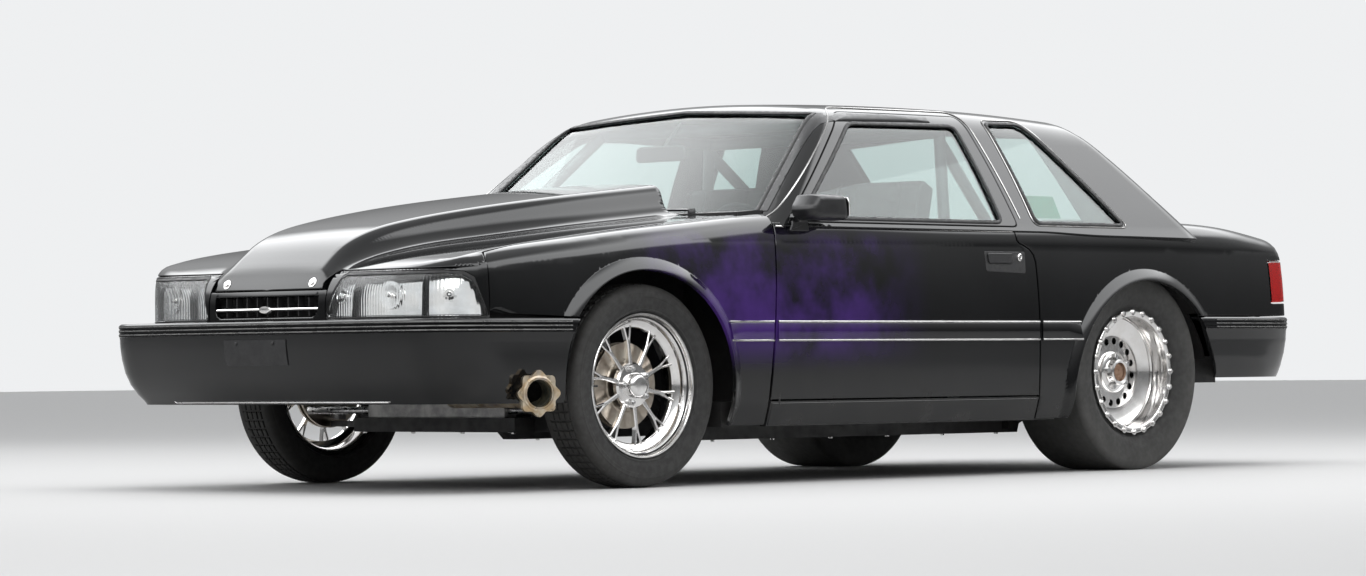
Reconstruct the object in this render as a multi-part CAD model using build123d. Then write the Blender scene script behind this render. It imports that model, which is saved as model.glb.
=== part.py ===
from build123d import *
import os
from math import cos, radians, sin, tan

# A two-door notchback coupe set up for straight-line racing, standing on its four wheels.
# Millimetres. X runs forward, Y to the car's left, Z up. The floor is Z = 0.

# The whole car
LENGTH = 4562
HEIGHT = 1321
WIDTH = 1744
WHEELBASE = 2553
NOSE_X = LENGTH / 2
TAIL_X = -LENGTH / 2
FRONT_AXLE_X = 1331
REAR_AXLE_X = FRONT_AXLE_X - WHEELBASE
HALF_WIDTH = WIDTH / 2

# Heights along the side, from the floor up
SILL_Z = 190
CREASE_Z = 268
BAND_Z = 505
BELT_Z = 869
COWL_Z = 910
DECK_Z = 905
LAMP_FOOT_Z = 548
HOOD_NOSE_Z = 650
TAIL_FOOT_Z = 557

# Wheels and tyres
FRONT_TYRE_DIAMETER = 660
FRONT_TYRE_WIDTH = 165
FRONT_TYRE_Y = 745
FRONT_RIM_DIAMETER = 471
FRONT_RIM_WIDTH = 140
REAR_TYRE_DIAMETER = 711
REAR_TYRE_WIDTH = 300
REAR_TYRE_Y = 678
REAR_RIM_DIAMETER = 428
REAR_RIM_WIDTH = 250
TYRE_SHOULDER = 32
RIM_FIT = 0.3
FRONT_HUB_Z = FRONT_TYRE_DIAMETER / 2
REAR_HUB_Z = REAR_TYRE_DIAMETER / 2
DISC_DIAMETER = 280
DISC_THICKNESS = 26
SPOKE_COUNT = 10
REAR_SPOKE_COUNT = 12
HUB_RADIUS = 62
SPINDLE_RADIUS = 20
SPINDLE_CLEARANCE = 0.1

# Walls and gaps
GAP = 6
FENDER_WALL = 16
QUARTER_WALL = 20
DOOR_WALL = 60
HOOD_WALL = 24
ROOF_WALL = 30
COVER_WALL = 14
COVER_FLANGE = 70
COVER_ROOT_X = 1575
COVER_CUT_X = COVER_ROOT_X - 75
COVER_HALF = HALF_WIDTH - 4
GLASS = 6
GLASS_FIT = 0.3
SEAM = 0.3
PIN_RADIUS = 5
PIN_FIT = 0.3
PIN_REACH = 32
SHEET = 10

# Wheel openings in the body sides
FRONT_ARCH_RADIUS = 362
REAR_ARCH_RADIUS = 440
LIP_WIDTH = 42
LIP_PROUD = 12

# Where the panels meet
DOOR_REAR_X = -615
DOOR_FRONT_TOP_X = 722
DOOR_FRONT_FOOT_X = 779
DOOR_FOOT_Z = 278
HOOD_HALF = 735
HOOD_REAR_X = 800
HOOD_PIVOT = (815, 892)
HOOD_LAMP_Z = 704
COWL_GAP = 10
NOSE_SEAM_X = NOSE_X - 291
SUPPORT_X = NOSE_SEAM_X - 15
DECKLID_HALF = 640
DECKLID_FRONT_X = -1650
DECKLID_PIVOT = (-1662, 897)
LAMP_INNER_Y = 282

# Door hinge line, and the steering
HINGE_X = 735
HINGE_Y = 860
FIREWALL_X = 765
KINGPIN_Y = 645
KINGPIN_LEAN = 7.5
STEER_ARM = 130
RACK_Z = 252
RACK_RADIUS = 13
RACK_CLEARANCE = 0.9
ARM_CLEARANCE = 14

FAR = 4000


def in_xz(u, v):
    return (u, 0, v)


def in_yz(u, v):
    return (0, u, v)


def in_xy(u, v):
    return (u, v, 0)


def face_of(points, place):
    """Closed face. A point with four numbers is reached by an arc through its last two."""
    edges = []
    before = points[-1]
    for point in points:
        start, end = place(*before[:2]), place(*point[:2])
        if len(point) == 4:
            edges.append(ThreePointArc(start, place(*point[2:]), end))
        else:
            edges.append(Line(start, end))
        before = point
    return make_face(edges)


def shrink(face, inset):
    """The face with its edge moved in, or out where the inset is negative."""
    corners = Kind.ARC if inset > 0 else Kind.INTERSECTION
    return offset(face, amount=-inset, kind=corners) if inset else face


def prism(points, place, low, high, inset=0):
    """Solid with the outline, from low to high along the axis that the outline leaves out."""
    across = {in_xz: (0, 1, 0), in_yz: (1, 0, 0), in_xy: (0, 0, 1)}[place]
    face = shrink(face_of(points, place), inset)
    start = Vector(*across) * low
    return extrude(face, amount=high - low, dir=across).translate(start)


def box(x_low, x_high, y_low, y_high, z_low, z_high):
    centre = ((x_low + x_high) / 2, (y_low + y_high) / 2, (z_low + z_high) / 2)
    return Pos(*centre) * Box(x_high - x_low, y_high - y_low, z_high - z_low)


def drum(x, y_low, y_high, z, radius):
    """Round bar along Y."""
    return Pos(x, (y_low + y_high) / 2, z) * Rot(90, 0, 0) * Cylinder(radius, y_high - y_low)


def rod(start, end, radius):
    """Round bar between two points."""
    line = Vector(*end) - Vector(*start)
    plane = Plane(origin=start, z_dir=line)
    return extrude(plane * Circle(radius), amount=line.length)


def turned(points):
    """Ring about Y from (radius, y) points."""
    return revolve(face_of(points, in_xy), Axis.Y, 360)


def both_sides(shape):
    return [shape, mirror(shape, about=Plane.XZ)]


def save(name, shapes):
    """One file per piece. Pieces of a kind on one body go in as separate solids."""
    shapes = shapes if isinstance(shapes, list) else [shapes]
    solids = [solid for shape in shapes for solid in shape.solids()]
    whole = solids[0] if len(solids) == 1 else Compound(children=solids)
    export_step(whole, f"parts/{name}.step")


# The outer form of the lower body is what three outlines share: seen from the side,
# from above and from the front. Columns: first, second, then an arc's middle point.
SIDE_OUTLINE = [
    (NOSE_X - 46, SILL_Z),
    (NOSE_X - 46, HOOD_NOSE_Z),
    (NOSE_SEAM_X, 762, NOSE_X - 146, 718),
    (HOOD_REAR_X - 100, COWL_Z, 1340, 848),
    (REAR_AXLE_X - 278, DECK_Z + 10),
    (TAIL_X + 106, 845, (REAR_AXLE_X + TAIL_X) / 2 - 88.5, 900),
    (TAIL_X + 56, 800),
    (TAIL_X + 46, SILL_Z),
]
PLAN_OUTLINE = [
    (NOSE_X - 46, 0),
    (NOSE_X - 56, 290),
    (NOSE_X - 321, 790, NOSE_X - 116, 600),
    (FRONT_AXLE_X, 862),
    (0, HALF_WIDTH),
    (REAR_AXLE_X, 868),
    (TAIL_X + 251, 815, (REAR_AXLE_X + TAIL_X) / 2 + 111.5, 852),
    (TAIL_X + 70, 720),
    (TAIL_X + 46, 0),
]
SECTION_OUTLINE = [
    (0, SILL_Z),
    (HALF_WIDTH - 34, SILL_Z),
    (HALF_WIDTH - 10, CREASE_Z),
    (HALF_WIDTH, BAND_Z),
    (HALF_WIDTH - 34, BELT_Z, HALF_WIDTH - 10, 700),
    (HALF_WIDTH - 130, BELT_Z + 45, HALF_WIDTH - 62, BELT_Z + 25),
    (0, BELT_Z + 70),
]
# The cabin above the belt: its lean seen from the front, its roof seen from the side, and the
# two glass slopes, each a plan outline at the belt carried up along its slope.
ROOF_RAIL_Y = 632
ROOF_RAIL_Z = HEIGHT - 65
ROOF_EDGE_Z = HEIGHT - 31
HEADER_Z = HEIGHT - 37
LEAN = (HALF_WIDTH - 34 - ROOF_RAIL_Y) / (ROOF_RAIL_Z - BELT_Z)
ROOT_DROP = 260
CABIN_ROOT_Y = HALF_WIDTH - 34 + LEAN * ROOT_DROP
CABIN_SECTION = [
    (-CABIN_ROOT_Y, BELT_Z - ROOT_DROP),
    (CABIN_ROOT_Y, BELT_Z - ROOT_DROP),
    (ROOF_RAIL_Y, ROOF_RAIL_Z),
    (560, ROOF_EDGE_Z),
    (-560, ROOF_EDGE_Z, 0, HEIGHT),
    (-ROOF_RAIL_Y, ROOF_RAIL_Z),
]
CABIN_ROOF = [
    (FAR, BELT_Z - ROOT_DROP),
    (FAR, HEADER_Z - 84),
    (320, HEADER_Z),
    (-1065, HEADER_Z + 2, -340, HEIGHT),
    (-FAR, HEADER_Z - 184),
    (-FAR, BELT_Z - ROOT_DROP),
]
SCREEN_SLOPE = (-451.9, ROOF_RAIL_Z - BELT_Z)
SCREEN_PLAN = [
    (-FAR / 2, -1000),
    (640, -1000),
    (708, -740),
    (708, 740, 760, 0),
    (640, 1000),
    (-FAR / 2, 1000),
]
TAIL_SLOPE = (470.6, ROOF_RAIL_Z - BELT_Z)
TAIL_GLASS_PLAN = [
    (FAR / 2, 1000),
    (-1500, 1000),
    (-1589, 600),
    (-1589, -600, -1622, 0),
    (-1500, -1000),
    (FAR / 2, -1000),
]


def form(points, place, inset, symmetric=True):
    """Long bar with the outline as its section, each face moved in by the inset."""
    across = {in_xz: (0, 1, 0), in_yz: (1, 0, 0), in_xy: (0, 0, 1)}[place]
    face = face_of(points, place)
    if symmetric:
        face = (face + mirror(face, about=Plane.XZ)).face()
    return extrude(shrink(face, inset), amount=FAR, dir=across, both=True)


def slope(points, rise, inset):
    """Plan outline at the belt, carried up and down along a slope in the XZ plane."""
    run = Vector(rise[0], 0, rise[1])
    face = shrink(face_of(points, in_xy), inset * run.length / rise[1])
    root = face.translate((0, 0, BELT_Z)).translate(run * (-ROOT_DROP / rise[1]))
    return extrude(root, amount=FAR / 2, dir=run.normalized())


def lower_body(inset=0):
    side = form(SIDE_OUTLINE, in_xz, inset, symmetric=False)
    return side & form(PLAN_OUTLINE, in_xy, inset) & form(SECTION_OUTLINE, in_yz, inset)


def cabin(inset=0):
    top = form(CABIN_ROOF, in_xz, inset, False) & form(CABIN_SECTION, in_yz, inset, False)
    closed = top & slope(SCREEN_PLAN, SCREEN_SLOPE, inset) & slope(TAIL_GLASS_PLAN, TAIL_SLOPE, inset)
    return closed & box(-FAR, FAR, -FAR, FAR, BELT_Z, FAR)


LOWER = lower_body()
CABIN = cabin()


def skin(wall):
    return LOWER - lower_body(wall)


def cabin_skin(wall):
    return CABIN - cabin(wall)


def arch(x, z, radius, y_low=480):
    """Cutter for a wheel opening: round above its centre, straight below."""
    return drum(x, y_low, FAR, z, radius) + box(x - radius, x + radius, y_low, FAR, -FAR, z)


FRONT_ARCH = (FRONT_AXLE_X, FRONT_HUB_Z)
REAR_ARCH = (REAR_AXLE_X - 16, REAR_HUB_Z - 111)
FRONT_OPENING = arch(*FRONT_ARCH, FRONT_ARCH_RADIUS)
REAR_OPENING = arch(*REAR_ARCH, REAR_ARCH_RADIUS)


def lip(place, radius, wall, low):
    """Flared lip round a wheel opening, proud of the side."""
    band = arch(*place, radius + LIP_WIDTH) - arch(*place, radius)
    band = band & (lower_body(-LIP_PROUD) - lower_body(wall))
    return band & box(-FAR, FAR, 700, FAR, low, FAR)


# Side openings, seen from the side: front and rear edges lean as on the car
DOOR_EDGE_LEAN = (DOOR_FRONT_FOOT_X - DOOR_FRONT_TOP_X) / (BELT_Z - DOOR_FOOT_Z)
DOOR_PANEL = [
    (DOOR_FRONT_FOOT_X, DOOR_FOOT_Z),
    (DOOR_FRONT_TOP_X, BELT_Z),
    (DOOR_REAR_X, BELT_Z),
    (DOOR_REAR_X, DOOR_FOOT_Z),
]
DOOR_FRAME = [
    (660, BELT_Z),
    (160, ROOF_RAIL_Z + 10),
    (-478, ROOF_RAIL_Z + 12),
    (-562, BELT_Z),
]
DOOR_WINDOW = [
    (590, BELT_Z),
    (150, ROOF_RAIL_Z - 38),
    (-420, ROOF_RAIL_Z - 28),
    (-465, BELT_Z),
]
QUARTER_WINDOW = [
    (-600, ROOF_RAIL_Z - 6),
    (-800, ROOF_RAIL_Z - 2),
    (-1150, BELT_Z + 12),
    (-650, BELT_Z + 12),
]
# Screens seen from the front, as half outlines across the car
FRONT_SCREEN = [(0, BELT_Z + 34), (704, BELT_Z + 34), (588, HEADER_Z - 30), (0, HEADER_Z - 2)]
REAR_SCREEN = [(0, BELT_Z + 46), (592, BELT_Z + 46), (520, HEADER_Z - 52), (0, HEADER_Z - 22)]


def screen_cutter(points, x_low, x_high):
    face = face_of(points, in_yz)
    face = (face + mirror(face, about=Plane.XZ)).face()
    return extrude(face, amount=x_high - x_low, dir=(1, 0, 0)).translate((x_low, 0, 0))


FRONT_SCREEN_HOLE = screen_cutter(FRONT_SCREEN, 100, 900)
REAR_SCREEN_HOLE = screen_cutter(REAR_SCREEN, -1800, -950)


def grown(points, by):
    return shrink(face_of(points, in_xz), -by)


def side_cutter(points, by=0, y_low=300):
    return extrude(grown(points, by), amount=FAR, dir=(0, 1, 0)).translate((0, y_low, 0))


def fenders():
    region = [
        (DOOR_FRONT_FOOT_X + GAP, SILL_Z),
        (DOOR_FRONT_FOOT_X + GAP, DOOR_FOOT_Z),
        (DOOR_FRONT_TOP_X + GAP - DOOR_EDGE_LEAN * 60, BELT_Z + 60),
        (NOSE_SEAM_X, BELT_Z + 60),
        (NOSE_SEAM_X, LAMP_FOOT_Z),
        (FRONT_AXLE_X, LAMP_FOOT_Z),
        (FRONT_AXLE_X, SILL_Z),
    ]
    panel = skin(FENDER_WALL) & prism(region, in_xz, HOOD_HALF, FAR)
    edge = lip(FRONT_ARCH, FRONT_ARCH_RADIUS, FENDER_WALL, 420) & prism(region, in_xz, 0, FAR)
    panel -= box(0, FRONT_AXLE_X, 0, ROCKER_OUTER, 0, SILL_Z + FENDER_WALL + 1)
    pin = hinge_pins(HOOD_PIVOT, HOOD_HALF - GAP, PIN_RADIUS) & box(0, FAR, 0, FAR, 0, FAR)
    return both_sides((panel - FRONT_OPENING) + edge + pin)


def quarter_panels():
    region = [
        (DOOR_REAR_X - GAP, SILL_Z),
        (DOOR_REAR_X - GAP, BELT_Z + 60),
        (TAIL_X, BELT_Z + 60),
        (TAIL_X, TAIL_FOOT_Z),
        (REAR_ARCH[0], TAIL_FOOT_Z),
        (REAR_ARCH[0], SILL_Z),
    ]
    panel = (skin(QUARTER_WALL) & prism(region, in_xz, DECKLID_HALF, FAR)) - CABIN
    lamp = box(TAIL_X, LAMP_FRONT_X + SEAM, 0, FAR, LAMP_LOW - SEAM, LAMP_HIGH + SEAM)
    panel -= box(REAR_ARCH[0], 0, 0, ROCKER_OUTER, 0, SILL_Z + QUARTER_WALL + 1)
    edge = lip(REAR_ARCH, REAR_ARCH_RADIUS, QUARTER_WALL, 480)
    edge -= box(TAIL_X, REAR_ARCH[0], 0, FAR, 0, TAIL_FOOT_Z)
    pin = hinge_pins(DECKLID_PIVOT, DECKLID_HALF - GAP, PIN_RADIUS) & box(-FAR, 0, 0, FAR, 0, FAR)
    return both_sides((((panel - REAR_OPENING) + edge) - lamp) + pin)


LAMP_FRONT_X = TAIL_X + 213
LAMP_LOW = 609
LAMP_HIGH = 764
LAMP_IN_Y = 560


def tail_lamps():
    lamp = skin(50) & box(TAIL_X, LAMP_FRONT_X, LAMP_IN_Y, FAR, LAMP_LOW, LAMP_HIGH)
    return both_sides(lamp)


def tail_panel():
    back = skin(QUARTER_WALL) & box(TAIL_X, TAIL_X + 131, -DECKLID_HALF, DECKLID_HALF, TAIL_FOOT_Z, LAMP_HIGH)
    for side in (-1, 1):
        lamp = box(TAIL_X, LAMP_FRONT_X, LAMP_IN_Y - SEAM, FAR, LAMP_LOW - SEAM, FAR)
        back -= lamp if side > 0 else mirror(lamp, about=Plane.XZ)
    for y in (-PLATE_SPACING / 2, PLATE_SPACING / 2):
        back -= rod((TAIL_X, y, PLATE_Z), (TAIL_X + 200, y, PLATE_Z), PLATE_HOLE)
    return back


PLATE_SPACING = 178
PLATE_HOLE = 3.5
PLATE_Z = 700


def hinge_pins(pivot, rim, radius):
    """Pins on both sides that carry a lid, reaching in past its rim."""
    pin = drum(pivot[0], rim - PIN_REACH, rim + 2 * GAP, pivot[1], radius)
    return pin + mirror(pin, about=Plane.XZ)


def hood():
    rim = HOOD_HALF - GAP
    shell = skin(HOOD_WALL)
    wide = shell & box(HOOD_REAR_X, FAR, -rim, rim, HOOD_LAMP_Z, FAR)
    nose = shell & box(NOSE_SEAM_X, FAR, -262, 262, HOOD_NOSE_Z, FAR)
    inner = scoop(BULGE_WALL).translate((-BULGE_WALL, 0, -BULGE_WALL))
    whole = wide + nose + ((scoop(0) - inner) - lower_body(HOOD_WALL))
    return whole - hinge_pins(HOOD_PIVOT, rim, PIN_RADIUS + PIN_FIT)


# The raised middle of the hood, open at its rear: its side outline, and half of its plan at
# the height of its foot, from which the sides lean inwards
BULGE_WALL = 16
BULGE_FOOT_Z = 700
BULGE_LEAN = 25
BULGE_NOSE_X = NOSE_X - 109


def along_hood(share):
    """X of a place on the hood, from its rear edge to the nose."""
    return HOOD_REAR_X + share * (NOSE_X - HOOD_REAR_X)


BULGE_SIDE = [
    (HOOD_REAR_X + 30, 860),
    (HOOD_REAR_X + 10, 1014),
    (along_hood(0.567), 914, along_hood(0.287), 970),
    (along_hood(0.83), 826, along_hood(0.706), 880),
    (BULGE_NOSE_X, BULGE_FOOT_Z, BULGE_NOSE_X - 60, 778),
]
BULGE_PLAN = [
    (HOOD_REAR_X - 200, 556),
    (along_hood(0.405), 462),
    (BULGE_NOSE_X - 82, 296),
    (BULGE_NOSE_X, 236),
]


def scoop(inset):
    """Solid form of the raised middle, each side moved in by the inset."""
    far_side = [(x, -y) for x, y in BULGE_PLAN]
    plan = shrink(face_of(far_side + BULGE_PLAN[::-1], in_xy), inset)
    tall = extrude(plan, amount=400, taper=BULGE_LEAN).translate((0, 0, BULGE_FOOT_Z))
    return tall & prism(BULGE_SIDE, in_xz, -600, 600)


def decklid():
    rim = DECKLID_HALF - GAP
    lid = skin(HOOD_WALL) & box(TAIL_X, DECKLID_FRONT_X, -rim, rim, LAMP_HIGH + GAP, FAR)
    return lid - hinge_pins(DECKLID_PIVOT, rim, PIN_RADIUS + PIN_FIT)


def shelf():
    plate = box(DECKLID_FRONT_X + COWL_GAP, -1090, -600, 600, BELT_Z - 12, BELT_Z)
    tulip = skin(DECK_Z + 10 - BELT_Z) & box(
        DECKLID_FRONT_X + COWL_GAP, -1400, -DECKLID_HALF, DECKLID_HALF, BELT_Z, FAR
    )
    return plate + (tulip - CABIN)


def roof():
    shell = cabin_skin(ROOF_WALL) - FRONT_SCREEN_HOLE - REAR_SCREEN_HOLE
    for side in (-1, 1):
        shell -= Pos((DOOR_FRONT_TOP_X + DOOR_REAR_X) / 2, side * FLOOR_HALF, BELT_Z) * Box(
            DOOR_FRONT_TOP_X - DOOR_REAR_X + 2 * GAP, 2 * (HALF_WIDTH - FLOOR_HALF), 2 * GAP
        )
    for points, by in ((DOOR_FRAME, GAP), (QUARTER_WINDOW, 0)):
        cutter = side_cutter(points, by)
        shell = shell - cutter - mirror(cutter, about=Plane.XZ)
    return shell


def fixed_glass():
    """Both screens and both quarter windows, each a pane a little smaller than its hole."""
    pane = cabin(GLASS) - cabin(2 * GLASS)
    front = pane & screen_cutter(shrunk(FRONT_SCREEN), 100, 900)
    rear = pane & screen_cutter(shrunk(REAR_SCREEN), -1800, -950)
    side = pane & side_cutter(QUARTER_WINDOW, -GLASS_FIT)
    return [front, rear, *both_sides(side)]


def shrunk(points):
    """Half outline pulled in at its outer edges by the fit of the glass."""
    foot, low, high, crown = points
    fit = GLASS_FIT
    return [
        (foot[0], foot[1] + fit),
        (low[0] - fit, low[1] + fit),
        (high[0] - fit, high[1] - fit),
        (crown[0], crown[1] - fit),
    ]


def door_pin(radius):
    """Pivot on the rocker that carries the door at its front lower corner."""
    foot = DOOR_FOOT_Z - 3 * GAP
    return Pos(HINGE_X, HINGE_Y, foot + PIN_REACH) * Cylinder(radius, 2 * PIN_REACH)


def door():
    panel = (LOWER - lower_body(DOOR_WALL)) & prism(DOOR_PANEL, in_xz, 770, FAR)
    panel -= door_pin(PIN_RADIUS - 1 + PIN_FIT)
    frame = cabin_skin(ROOF_WALL) & side_cutter(DOOR_FRAME)
    return panel + (frame - side_cutter(DOOR_WINDOW, y_low=200))


def door_glass():
    return (cabin(GLASS) - cabin(2 * GLASS)) & side_cutter(DOOR_WINDOW, -GLASS_FIT)


MIRROR = [(455, 872), (478, 958), (640, 962), (668, 905), (600, 872)]


def door_mirror():
    head = prism(MIRROR, in_xz, 852, 950)
    stem = box(585, 632, 800, 860, BELT_Z + 4, BELT_Z + 32)
    return (head + stem) - LOWER - CABIN


def full_plan(crown_x, points):
    """Whole outline from its left half. An arc through the crown joins the two front corners."""
    outline = [(*points[0], crown_x, 0), *points[1:]]
    for point, after in reversed(list(zip(points, [*points[1:], ()]))):
        middle = (after[2], -after[3]) if len(after) == 4 else ()
        outline.append((point[0], -point[1], *middle))
    return outline


# The covers run from a root hidden behind each wheel round the ends of the car
FRONT_COVER_PLAN = full_plan(NOSE_X, [
    (NOSE_X - 43, 720),
    (NOSE_X - 221, COVER_HALF - 30, NOSE_X - 109, COVER_HALF - 60),
    (FRONT_AXLE_X + 329, COVER_HALF),
    (COVER_CUT_X, COVER_HALF),
])
FRONT_COVER_SIDE = [
    (COVER_CUT_X, 277),
    (COVER_CUT_X, LAMP_FOOT_Z - SEAM),
    (NOSE_X - 41, LAMP_FOOT_Z - SEAM),
    (NOSE_X, 532),
    (NOSE_X, 470),
    (NOSE_X - 23, 440),
    (NOSE_X - 49, 330, NOSE_X - 31, 380),
    (NOSE_X - 91, 277),
]
REAR_COVER_PLAN = full_plan(TAIL_X, [
    (TAIL_X + 41, 720),
    (TAIL_X + 191, COVER_HALF - 36, TAIL_X + 91, COVER_HALF - 68),
    (-COVER_CUT_X - 100, COVER_HALF),
    (-COVER_CUT_X, COVER_HALF),
])
REAR_COVER_SIDE = [
    (-COVER_CUT_X, 329),
    (-COVER_CUT_X, TAIL_FOOT_Z - SEAM),
    (TAIL_X + 41, TAIL_FOOT_Z - SEAM),
    (TAIL_X, 540),
    (TAIL_X, 480),
    (TAIL_X + 25, 450),
    (TAIL_X + 45, 329),
]


def cover(plan, side, opening):
    """Bumper cover: a hollow shell, open below and towards the wheels."""
    outer = form(plan, in_xy, 0, False) & form(side, in_xz, 0, False)
    inner = form(plan, in_xy, COVER_WALL, False) & form(side, in_xz, COVER_WALL, False)
    low = min(point[1] for point in side)
    inner = inner + inner.translate((0, 0, -2 * COVER_WALL)) + form(plan, in_xy, COVER_FLANGE, False)
    shell = outer - inner - box(-COVER_ROOT_X, COVER_ROOT_X, -FAR, FAR, 0, FAR) - opening
    return shell - mirror(opening, about=Plane.XZ)


def front_cover():
    shell = cover(FRONT_COVER_PLAN, FRONT_COVER_SIDE, FRONT_OPENING)
    return shell - rod(EXHAUST_END, EXHAUST_COLLAR, COLLAR_RADIUS + SEAM)


# The outlet leaves the apron along Y, then a collar turns it out and forwards through the cover
EXHAUST_END = (1874, 880, 310)
EXHAUST_BEND = (1846, 800, 310)
EXHAUST_COLLAR = (1837, 774, 310)
EXHAUST_RADIUS = 46
EXHAUST_WALL = 4
COLLAR_RADIUS = EXHAUST_RADIUS + 3
FLANGE_RADIUS = 76
FLANGE_THICKNESS = 14


def exhaust_outlet():
    root = (EXHAUST_BEND[0], RAIL_OUTER + APRON_SHEET, EXHAUST_BEND[2])
    pipe = rod(EXHAUST_BEND, root, EXHAUST_RADIUS) + rod(EXHAUST_COLLAR, EXHAUST_END, COLLAR_RADIUS)
    direction = (Vector(*EXHAUST_END) - Vector(*EXHAUST_BEND)).normalized()
    face = Plane(origin=EXHAUST_END, z_dir=direction)
    flange = extrude(face * RegularPolygon(FLANGE_RADIUS, 8), amount=FLANGE_THICKNESS)
    mouth = tuple(Vector(*EXHAUST_END) + direction * (FLANGE_THICKNESS + 1))
    return (pipe + flange) - rod(mouth, EXHAUST_BEND, EXHAUST_RADIUS - EXHAUST_WALL)


def headlamps():
    lamp = skin(60) & box(NOSE_SEAM_X + 4, FAR, LAMP_INNER_Y, FAR, LAMP_FOOT_Z, 698)
    return both_sides(lamp)


def nose_panel():
    panel = skin(COVER_WALL) & box(
        NOSE_SEAM_X, FAR, SEAM - LAMP_INNER_Y, LAMP_INNER_Y - SEAM, LAMP_FOOT_Z, HOOD_NOSE_Z - GAP
    )
    slot = box(NOSE_SEAM_X, FAR, -249, 249, 560, 624)
    bar = box(NOSE_X - 58, NOSE_X - 48, -249, 249, 580, 588)
    posts = [box(NOSE_X - 58, NOSE_X - 48, y - 4, y + 4, 560, 624) for y in (-150, -50, 50, 150)]
    panel = panel - slot + bar
    for post in posts:
        panel += post
    return panel


def radiator_support():
    carrier = (lower_body(60) - lower_body(72)) & box(NOSE_SEAM_X, FAR, -FAR, FAR, LAMP_FOOT_Z, 697)
    plate = box(SUPPORT_X, NOSE_SEAM_X + 3, -745, 745, 440, 697)
    plate -= box(SUPPORT_X - 75, NOSE_SEAM_X + 10, -380, 380, 470, 660)
    return carrier + plate


# Under the car: floor, rails, axle and driveline
FLOOR_Z = 205
TUNNEL_HALF = 150
TUNNEL_Z = 455
TRUNK_Z = 530
TRUNK_WELL_Z = 400
TUB_Y = 505
TUB_RADIUS = REAR_ARCH_RADIUS + 40
RAIL_INNER = 395
RAIL_OUTER = 455
RAIL_FOOT_Z = 140
FRONT_RAIL_Z = 340
REAR_RAIL_Z = 432
RAIL_HEIGHT = 90
RAIL_FRONT_X = NOSE_X - 141
RAIL_REAR_X = TAIL_X + 101
SHAFT_Z = 340
APRON_Z = 716
APRON_SHEET = 8
FLOOR_HALF = 780
ROCKER_INNER = 700
ROCKER_OUTER = HALF_WIDTH - 60


def floor_pan():
    """Floor, tunnel, rockers, trunk floor and the tubs over the rear wheels."""
    path = [
        (FIREWALL_X, FLOOR_Z),
        (-900, FLOOR_Z),
        (-1010, TRUNK_Z),
        (-1520, TRUNK_Z),
        (-1600, TRUNK_WELL_Z),
        (TAIL_X + 91, TRUNK_WELL_Z),
        (TAIL_X + 91, TRUNK_WELL_Z + SHEET),
        (-1605, TRUNK_WELL_Z + SHEET),
        (-1525, TRUNK_Z + SHEET),
        (-1003, TRUNK_Z + SHEET),
        (-893, FLOOR_Z + SHEET),
        (FIREWALL_X, FLOOR_Z + SHEET),
    ]
    pan = prism(path, in_xz, -FLOOR_HALF, FLOOR_HALF) & lower_body(0)
    pan -= box(-FAR, -1560, 700, FAR, 0, FAR) + box(-FAR, -1560, -FAR, -700, 0, FAR)
    pan = pan & (lower_body(QUARTER_WALL) + box(-1000, FAR, -FAR, FAR, 0, FAR))
    tunnel = box(-1060, FIREWALL_X, -TUNNEL_HALF, TUNNEL_HALF, FLOOR_Z, TUNNEL_Z)
    hollow = box(-1060, FIREWALL_X, SHEET - TUNNEL_HALF, TUNNEL_HALF - SHEET, 0, TUNNEL_Z - SHEET)
    pan = (pan + tunnel) - hollow
    rocker = box(-760, 965, ROCKER_INNER, FAR, SILL_Z, DOOR_FOOT_Z - GAP) & LOWER
    rocker -= box(DOOR_FRONT_FOOT_X, 2000, ROCKER_OUTER, FAR, 0, FAR)
    rocker -= box(-2000, DOOR_REAR_X, ROCKER_OUTER, FAR, 0, FAR)
    rocker += door_pin(PIN_RADIUS - 1)
    x, z = REAR_ARCH
    inside = TUB_RADIUS - SHEET
    room = drum(x, TUB_Y, FAR, z, TUB_RADIUS)
    tub = room - drum(x, TUB_Y + SHEET, FAR, z, inside)
    tub = tub & lower_body(QUARTER_WALL) & box(-FAR, FAR, 0, FAR, TRUNK_WELL_Z, FAR)
    tub -= box(-FAR, x, 780, FAR, 0, TAIL_FOOT_Z + SHEET)
    well = box(x - inside, x + inside, TUB_Y + SHEET, FAR, 0, TRUNK_WELL_Z)
    for piece in both_sides(room + well):
        pan -= piece
    for piece in (*both_sides(rocker), *both_sides(tub)):
        pan += piece
    return pan


def firewall():
    wall = box(FIREWALL_X, FIREWALL_X + SHEET, -FLOOR_HALF, FLOOR_HALF, FLOOR_Z, COWL_Z - 12)
    wall -= box(0, FAR, -TUNNEL_HALF, TUNNEL_HALF, 0, TUNNEL_Z)
    for side in (-1, 1):
        wall -= Pos(FIREWALL_X, side * (ROCKER_INNER + FLOOR_HALF) / 2, SILL_Z) * Box(
            4 * SHEET, FLOOR_HALF - ROCKER_INNER + 2, 2 * (DOOR_FOOT_Z - SILL_Z)
        )
    wall = wall & lower_body(FENDER_WALL)
    cowl = skin(20) & box(600, HOOD_REAR_X - COWL_GAP, GAP - HOOD_HALF, HOOD_HALF - GAP, BELT_Z, FAR)
    return wall + (cowl - CABIN)


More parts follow.
